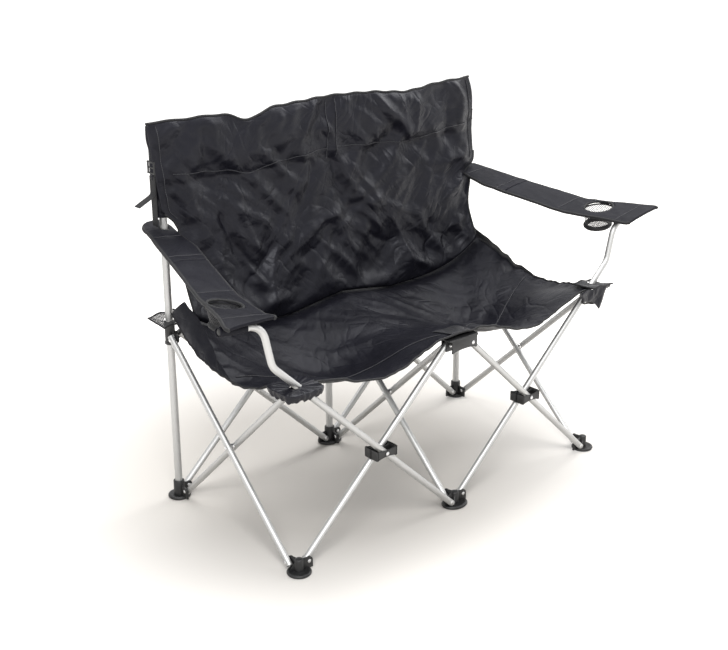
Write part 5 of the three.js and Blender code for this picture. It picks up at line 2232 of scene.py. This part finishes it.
@dataclass
class Armrests:
    """Flat sewn armrests with cup nets, each in two halves that fold down."""

    bench: Bench
    grid: PostGrid
    scissors: ScissorFrame
    level: float = 0.6483
    rise: float = 0.0045
    reach: float = 0.3
    ends: Pair = (-0.296, 0.297)
    level_y: float = -0.105
    rear_rise: float = 0.066
    rear_width: float = 0.1
    front_width: float = 0.132
    front_x: float = 0.64
    inner_edge: float = 0.48
    split: float = 0.075
    thick: float = 0.008
    edge: float = 0.006
    end_share: float = 0.35
    nose: float = 0.018
    tilt: float = 0.19
    plump: float = 0.002
    crumple: float = 0.0009
    grain: float = 0.0045
    binding: float = 0.0043
    stitch_rise: float = 0.0044
    pole_hole: float = 0.0115
    cup: Pair = (0.614, -0.165)
    cup_radius: float = 0.04
    cup_depth: float = 0.046
    cup_lift: float = 0.0066
    cup_base: float = 0.033
    net_cut: Pair = (0.25, 0.07)
    net_round: float = 0.036
    hem_radius: float = 0.0108
    hem_length: float = 0.068
    hem_past: float = 0.0053
    hem_cloth: float = 0.0022
    seams: tuple[float, ...] = (-0.255, -0.085, 0.1, 0.205)
    seam_half: float = 0.006

    def form(self, sign: int, low: float, high: float) -> Form:
        """The band's middle face between two places back.

        Args:
            sign: -1 on the left and 1 on the right.
            low: the front end.
            high: the rear end.

        Returns:
            A function of shares across and along.
        """
        g = self.grid

        def place(u: Array, v: Array) -> Array:
            """Places on the band.

            Args:
                u: shares across.
                v: shares along.

            Returns:
                The places, one row each.
            """
            y = low + (high - low) * v
            back = np.clip((y - self.level_y) / (self.reach - self.level_y), 0, None)
            ahead = np.clip((g.rear - y) / (g.rear + self.reach), 0, None)
            behind = unit((y - g.rear) / (self.reach - g.rear))
            centre = g.bay + (self.front_x - g.bay) * ahead
            full = self.rear_width + (self.front_width - self.rear_width) * ahead**4
            width = full * np.maximum(self.end_share, np.sqrt(1 - behind**2)) - self.edge
            tip = np.clip((self.nose - self.reach - y) / self.nose, 0, 0.97)
            round_off = self.nose * (1 - np.sqrt(1 - tip**2))
            inner = np.maximum(centre - width / 2 + round_off, self.inner_edge)
            x = sign * (inner + (centre + width / 2 - round_off - inner) * u)
            plump = self.plump * (1 - (2 * u - 1) ** 2)
            for seam in self.seams:
                plump = plump * (1 - 0.9 * bell(y - seam, self.seam_half))
            z = self.level + self.rear_rise * back + self.rise + plump + self.lean(x, y)
            places = np.stack([x, y, z], 1)
            places[:, 2] += self.crumple * ridges(places * (1, 0.5, 0), 30, 5 + sign)
            return places

        return place

    def lean(self, x: Array | float, y: Array | float) -> Array | float:
        """How far the armrest's front, which leans inwards, is lifted at a place.

        Args:
            x: places across.
            y: places back.

        Returns:
            The lift at each place.
        """
        ahead = unit((self.grid.rear - y) / (self.grid.rear + self.reach))
        centre = self.grid.bay + (self.front_x - self.grid.bay) * ahead**0.6
        held = np.where(x < 0, ease((y + self.reach) / self.hem_length), 1)
        return self.tilt * (abs(x) - centre) * ahead**0.25 * held

    def half(self, side: Side, row: str, ends: Pair, hole: Place) -> None:
        """One half of an armrest.

        Args:
            side: its side.
            row: "front" or "rear", as its CAD name spells it.
            ends: its front and rear ends.
            hole: the place across and back, and the radius, of the hole in it.
        """
        low, high = ends
        long = high - low
        form = self.form(side.value, low, high)
        sheet = ClothGrid.shaped(26, round(long / self.grain), (self.rear_width, long), form)
        keep = sheet.open_hole(np.array(hole[:2]), hole[2], 0.0023)
        node = f"armrest_{row}_{side.word}"
        body = node + "_body"
        mesh = sheet.mesh(node, keep, side is Side.LEFT)
        piece = self.bench.cloth(node + "_band", mesh, Look.BAND, body, self.thick, nodes=[node])
        for edge, column in (("inner", 0), ("outer", 1)):
            self.bench.binding(f"{node}_binding_{edge}", sheet.column(column, steps=50), body, self.binding)
        for number, seam in enumerate(s for s in self.seams if low < s < high):
            path = moved(sheet.row((seam - low) / long, 0.03, 0.97, 24), 0, 0, self.stitch_rise)
            self.bench.stitches(f"{node}_stitching_{number}", path, body)

    def net(self, side: Side) -> None:
        """A tapered net with a bound rim and base.

        Args:
            side: its side of the chair.
        """
        x, y = side.value * self.cup[0], self.cup[1]
        top = self.level - GAP
        low = top - self.cup_depth
        floor = low + 0.0008
        base, mouth = self.cup_base - 0.001, self.cup_radius + 0.0006
        shares = [k / 6 for k in range(7)]
        profile = [(base * k, floor) for k in shares]
        profile += [(base + (mouth - base) * k, floor + (top - 0.002 - floor) * k) for k in shares[1:]]
        bm = bmesh.new()
        lathe(bm, profile, Matrix.Identity(4), 48)
        weave = layer(bm, "weave")
        for vert in bm.verts:
            turn = abs(math.atan2(vert.co.y, vert.co.x))
            flat = vert.co.z < low + 0.001
            vert[weave] = vert.co.copy() if flat else Vector((turn * self.net_round, vert.co.z, 0))
            vert.co += Vector((x, y, 0))
            vert.co.z += self.lean(vert.co.x, vert.co.y)
        node = f"armrest_front_{side.word}"
        body = node + "_body"
        piece = self.bench.add(f"cup_net_{side.word}_mesh", bm, Look.NET, body, [f"cup_net_{side.word}"])
        for name, radius, height, thick in (
            ("rim", self.cup_radius - 0.001, self.level + self.cup_lift, 0.0034),
            ("lip", self.cup_radius + 0.0025, top - 0.0018, 0.0022),
            ("base", self.cup_base - 0.0004, low + 0.0055, 0.0062),
        ):
            circle = [Vector((a, b, height)) for a, b in arc((x, y), radius, 0, 360, 48)]
            for spot in circle:
                spot.z += self.lean(spot.x, spot.y)
            self.bench.binding(f"cup_{name}_{side.word}", circle, body, thick)

    def hem(self, side: Side) -> None:
        """The pocket under the band that the arm tube's tip goes into.

        Args:
            side: its side of the chair.
        """
        before, tip = self.scissors.arm_path(side)[-2:]
        out = (tip - before).normalized()
        start, end = tip + out * (self.hem_past - self.hem_length), tip + out * self.hem_past
        bm = bmesh.new()
        sweep(bm, [start.lerp(end, k / 12) for k in range(13)], self.hem_radius, self.hem_cloth, 28)
        weave = layer(bm, "weave")
        drawn = layer(bm, "drawn")
        for vert in bm.verts:
            local = vert[drawn]
            vert[weave] = Vector((math.atan2(local.y, local.x) * self.hem_radius, local.z, 0))
        piece = self.bench.add(f"armrest_hem_{side.word}", bm, Look.BAND, f"armrest_front_{side.word}_body")

    def build(self) -> None:
        """Both armrests and their nets."""
        front, rear = self.ends
        for side in OUTER:
            cup = (side.value * self.cup[0], self.cup[1], self.cup_radius)
            pole = (self.grid.x(side), self.grid.rear, self.pole_hole)
            self.half(side, "front", (front, self.split), cup)
            self.half(side, "rear", (self.split, rear), pole)
            self.net(side)
            self.hem(side)


@dataclass
class Straps:
    """Webbing straps at the armrests' rear ends, with buckles and loose tails."""

    bench: Bench
    grid: PostGrid
    width: float = 0.025
    thick: float = 0.0018
    top: float = 0.936
    bottom: float = 0.722
    sleeve_half: float = 0.02
    buckle: float = 0.864
    buckle_size: float = 0.03
    buckle_lift: float = 0.0023
    rail: float = 0.0022
    rail_inset: float = 0.002
    bar: float = 0.0019
    bar_inset: float = 0.001
    tail: float = 0.096
    tail_steps: int = 24
    tail_drop: float = 0.005
    tail_lift: float = 0.0016
    tail_angle: float = 64
    hanging_angle: float = 4
    hug: float = 0.036
    bend: float = 0.014

    def ribbon(self, path: Path, name: str) -> Mesh:
        """A flat ribbon along a path, its width along the chair's depth.

        Args:
            path: its middle line.
            name: the mesh's name.

        Returns:
            The mesh.
        """
        steps = len(path) - 1

        def form(u: Array, v: Array) -> Array:
            """Places across the ribbon at each point of the path.

            Args:
                u: shares across.
                v: shares along.

            Returns:
                The places, one row each.
            """
            points = np.array([tuple(path[r]) for r in np.rint(v * steps).astype(int)])
            points[:, 1] += self.width * (u - 0.5)
            return points

        return ClothGrid.shaped(6, steps, (self.width, lengths_along(path)[-1]), form).mesh(name)

    def strap(self, side: Side) -> None:
        """One strap with its tail and its buckle.

        Args:
            side: its side of the chair.
        """
        sign, y, body = side.value, self.grid.rear, f"post_rear_{side.word}"
        x = sign * (self.grid.bay + self.sleeve_half + GAP + self.thick / 2)
        path = [Vector((x, y, float(h))) for h in np.linspace(self.bottom, self.top, 40)]
        name = f"strap_{side.word}"
        webbing = self.ribbon(path, name)
        strap = self.bench.cloth(name + "_webbing", webbing, Look.WEBBING, body, self.thick, nodes=[name])
        lean = math.radians(self.tail_angle if side is Side.LEFT else self.hanging_angle)
        place = Vector((x + sign * self.tail_lift, y, self.buckle - self.buckle_size / 2 - self.tail_drop))
        step = self.tail / self.tail_steps
        tail = []
        for k in range(self.tail_steps + 1):
            tail.append(place.copy())
            bend = lean * float(ease((step * k - self.hug) / self.bend))
            place += Vector((sign * math.sin(bend), 0, -math.cos(bend))) * step
        name = f"strap_tail_{side.word}"
        loose = self.bench.cloth(name, self.ribbon(tail, name), Look.WEBBING, body, self.thick)
        self.slide(side, x + sign * (self.thick / 2 + self.buckle_lift))

    def slide(self, side: Side, x: float) -> None:
        """A moulded slide buckle: a frame with a middle bar.

        Args:
            side: its side of the chair.
            x: its place across.
        """
        half = self.buckle_size / 2
        centre = Vector((x, self.grid.rear, self.buckle))
        bm = bmesh.new()
        for sign in (-1, 1):
            for along, aside in ((BACK, UP), (UP, BACK)):
                middle = centre + aside * (sign * (half - self.rail_inset))
                sweep(bm, [middle - along * half, middle + along * half], self.rail, 0, 14)
        reach = BACK * (half - self.bar_inset)
        sweep(bm, [centre - reach, centre + reach], self.bar, 0, 14)
        name = f"buckle_{side.word}"
        self.bench.add(name + "_slide", bm, Look.PLASTIC, f"post_rear_{side.word}", [name])

    def build(self) -> None:
        """Both straps."""
        for side in OUTER:
            self.strap(side)


@dataclass
class Studio:
    """A pale floor, soft light and the camera."""

    eye: Place = (-1.99, -2.206, 1.503)
    target: Place = (-0.0862, 0, 0.437)
    lens: float = 60.85
    sensor: float = 36
    roll: float = -0.155
    ambient: float = 0.2
    lit: Place = (0, 0, 0.45)
    floor_half: float = 20
    floor_drop: float = 0.0006
    lamps: tuple[tuple[str, Place, Pair, float], ...] = (
        ("key", (-2.3, -2.5, 3.2), (2.2, 2), 160),
        ("side", (3, -0.4, 2.8), (3, 3), 100),
        ("top", (0.3, 0.9, 3.4), (3, 1.6), 90),
    )

    def stand(self, name: str, data: bpy.types.ID, place: Place, target: Place) -> Piece:
        """Puts a lamp or camera at a place, so that it looks at a target.

        Args:
            name: the object's name.
            data: the lamp or the camera.
            place: where it stands.
            target: where it looks.

        Returns:
            The object.
        """
        item = bpy.data.objects.new(name, data)
        bpy.context.scene.collection.objects.link(item)
        turn = (Vector(target) - Vector(place)).to_track_quat("-Z", "Y").to_matrix().to_4x4()
        item.matrix_world = Matrix.Translation(Vector(place)) @ turn
        return item

    def build(self) -> None:
        """Floor, lights, world and camera."""
        scene = bpy.context.scene
        scene.view_settings.view_transform = "Standard"
        self.floor()
        self.world()
        for name, place, size, power in self.lamps:
            light = bpy.data.lights.new(name, "AREA")
            light.shape = "RECTANGLE"
            light.size, light.size_y = size
            light.energy = power
            self.stand(name, light, place, self.lit)
        data = bpy.data.cameras.new("camera")
        data.sensor_width = self.sensor
        data.lens = self.lens
        scene.camera = self.stand("camera", data, self.eye, self.target)
        scene.camera.matrix_world @= Matrix.Rotation(math.radians(self.roll), 4, "Z")

    def floor(self) -> None:
        """A wide plain floor that keeps the lamps' shadow near the chair, with painted warm shade there and a
        painted white glow farther off.
        """
        bm = bmesh.new()
        bmesh.ops.create_grid(bm, x_segments=1, y_segments=1, size=self.floor_half)
        bmesh.ops.translate(bm, vec=UP * -self.floor_drop, verts=list(bm.verts))
        mesh = bpy.data.meshes.new("floor")
        bm.to_mesh(mesh)
        bm.free()
        mesh.materials.append(PaleFloor().material("pale_floor"))
        floor = bpy.data.objects.new("floor", mesh)
        bpy.context.scene.collection.objects.link(floor)

    def world(self) -> None:
        """Even surroundings: white to the camera and in reflections, and a plain ambient level elsewhere."""
        world = bpy.data.worlds.new("surroundings")
        bpy.context.scene.world = world
        world.use_nodes = True
        shader = Shader(world.node_tree)
        path = shader.node("ShaderNodeLightPath", {})
        kinds = ("Camera", "Glossy", "Transmission")
        seen = [Value(shader, path.outputs[f"Is {kind} Ray"]) for kind in kinds]
        white = seen[0].math("MAXIMUM", seen[0].math("MAXIMUM", seen[0], seen[1]), seen[2])
        strength = shader.span(white, self.ambient, 1)
        shade = shader.output("ShaderNodeBackground", {"Color": grey(1), "Strength": strength})
        shader.node("ShaderNodeOutputWorld", {"Surface": shade})


FINISHES: dict[Look, Finish] = {
    Look.TUBE: SatinTube(),
    Look.RIVET: PressedSteel(),
    Look.PLASTIC: Moulding(),
    Look.CLOTH: WovenCloth(),
    Look.SEAT: WovenCloth(crease_depth=0.012, roughness=0.46, gloss=0.19),
    Look.BAND: WovenCloth(crease_depth=0.005, roughness=0.6, gloss=0.14, pitch=0.0016),
    Look.BINDING: RibbedWebbing(),
    Look.THREAD: SewingThread(),
    Look.WEBBING: RibbedWebbing(rib=0.0022),
    Look.NET: OpenNet(),
    Look.MESH: OpenNet(hole=0.0028, thread=0.7),
    Look.PATCH: WovenCloth(dark=(0.02, 0.02, 0.022, 1), pale=(0.05, 0.05, 0.052, 1)),
}


def main() -> None:
    """Builds the chair and its studio."""
    logging.basicConfig(level=logging.INFO, format="%(message)s")
    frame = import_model()
    bench = Bench(FINISHES)
    grid = PostGrid()
    scissors = ScissorFrame(bench, grid)
    Studio().build()
    scissors.build()
    Mouldings(bench, grid, scissors).build()
    Upholstery(bench, grid).build()
    Armrests(bench, grid, scissors).build()
    Straps(bench, grid).build()


if __name__ == "__main__":
    main()
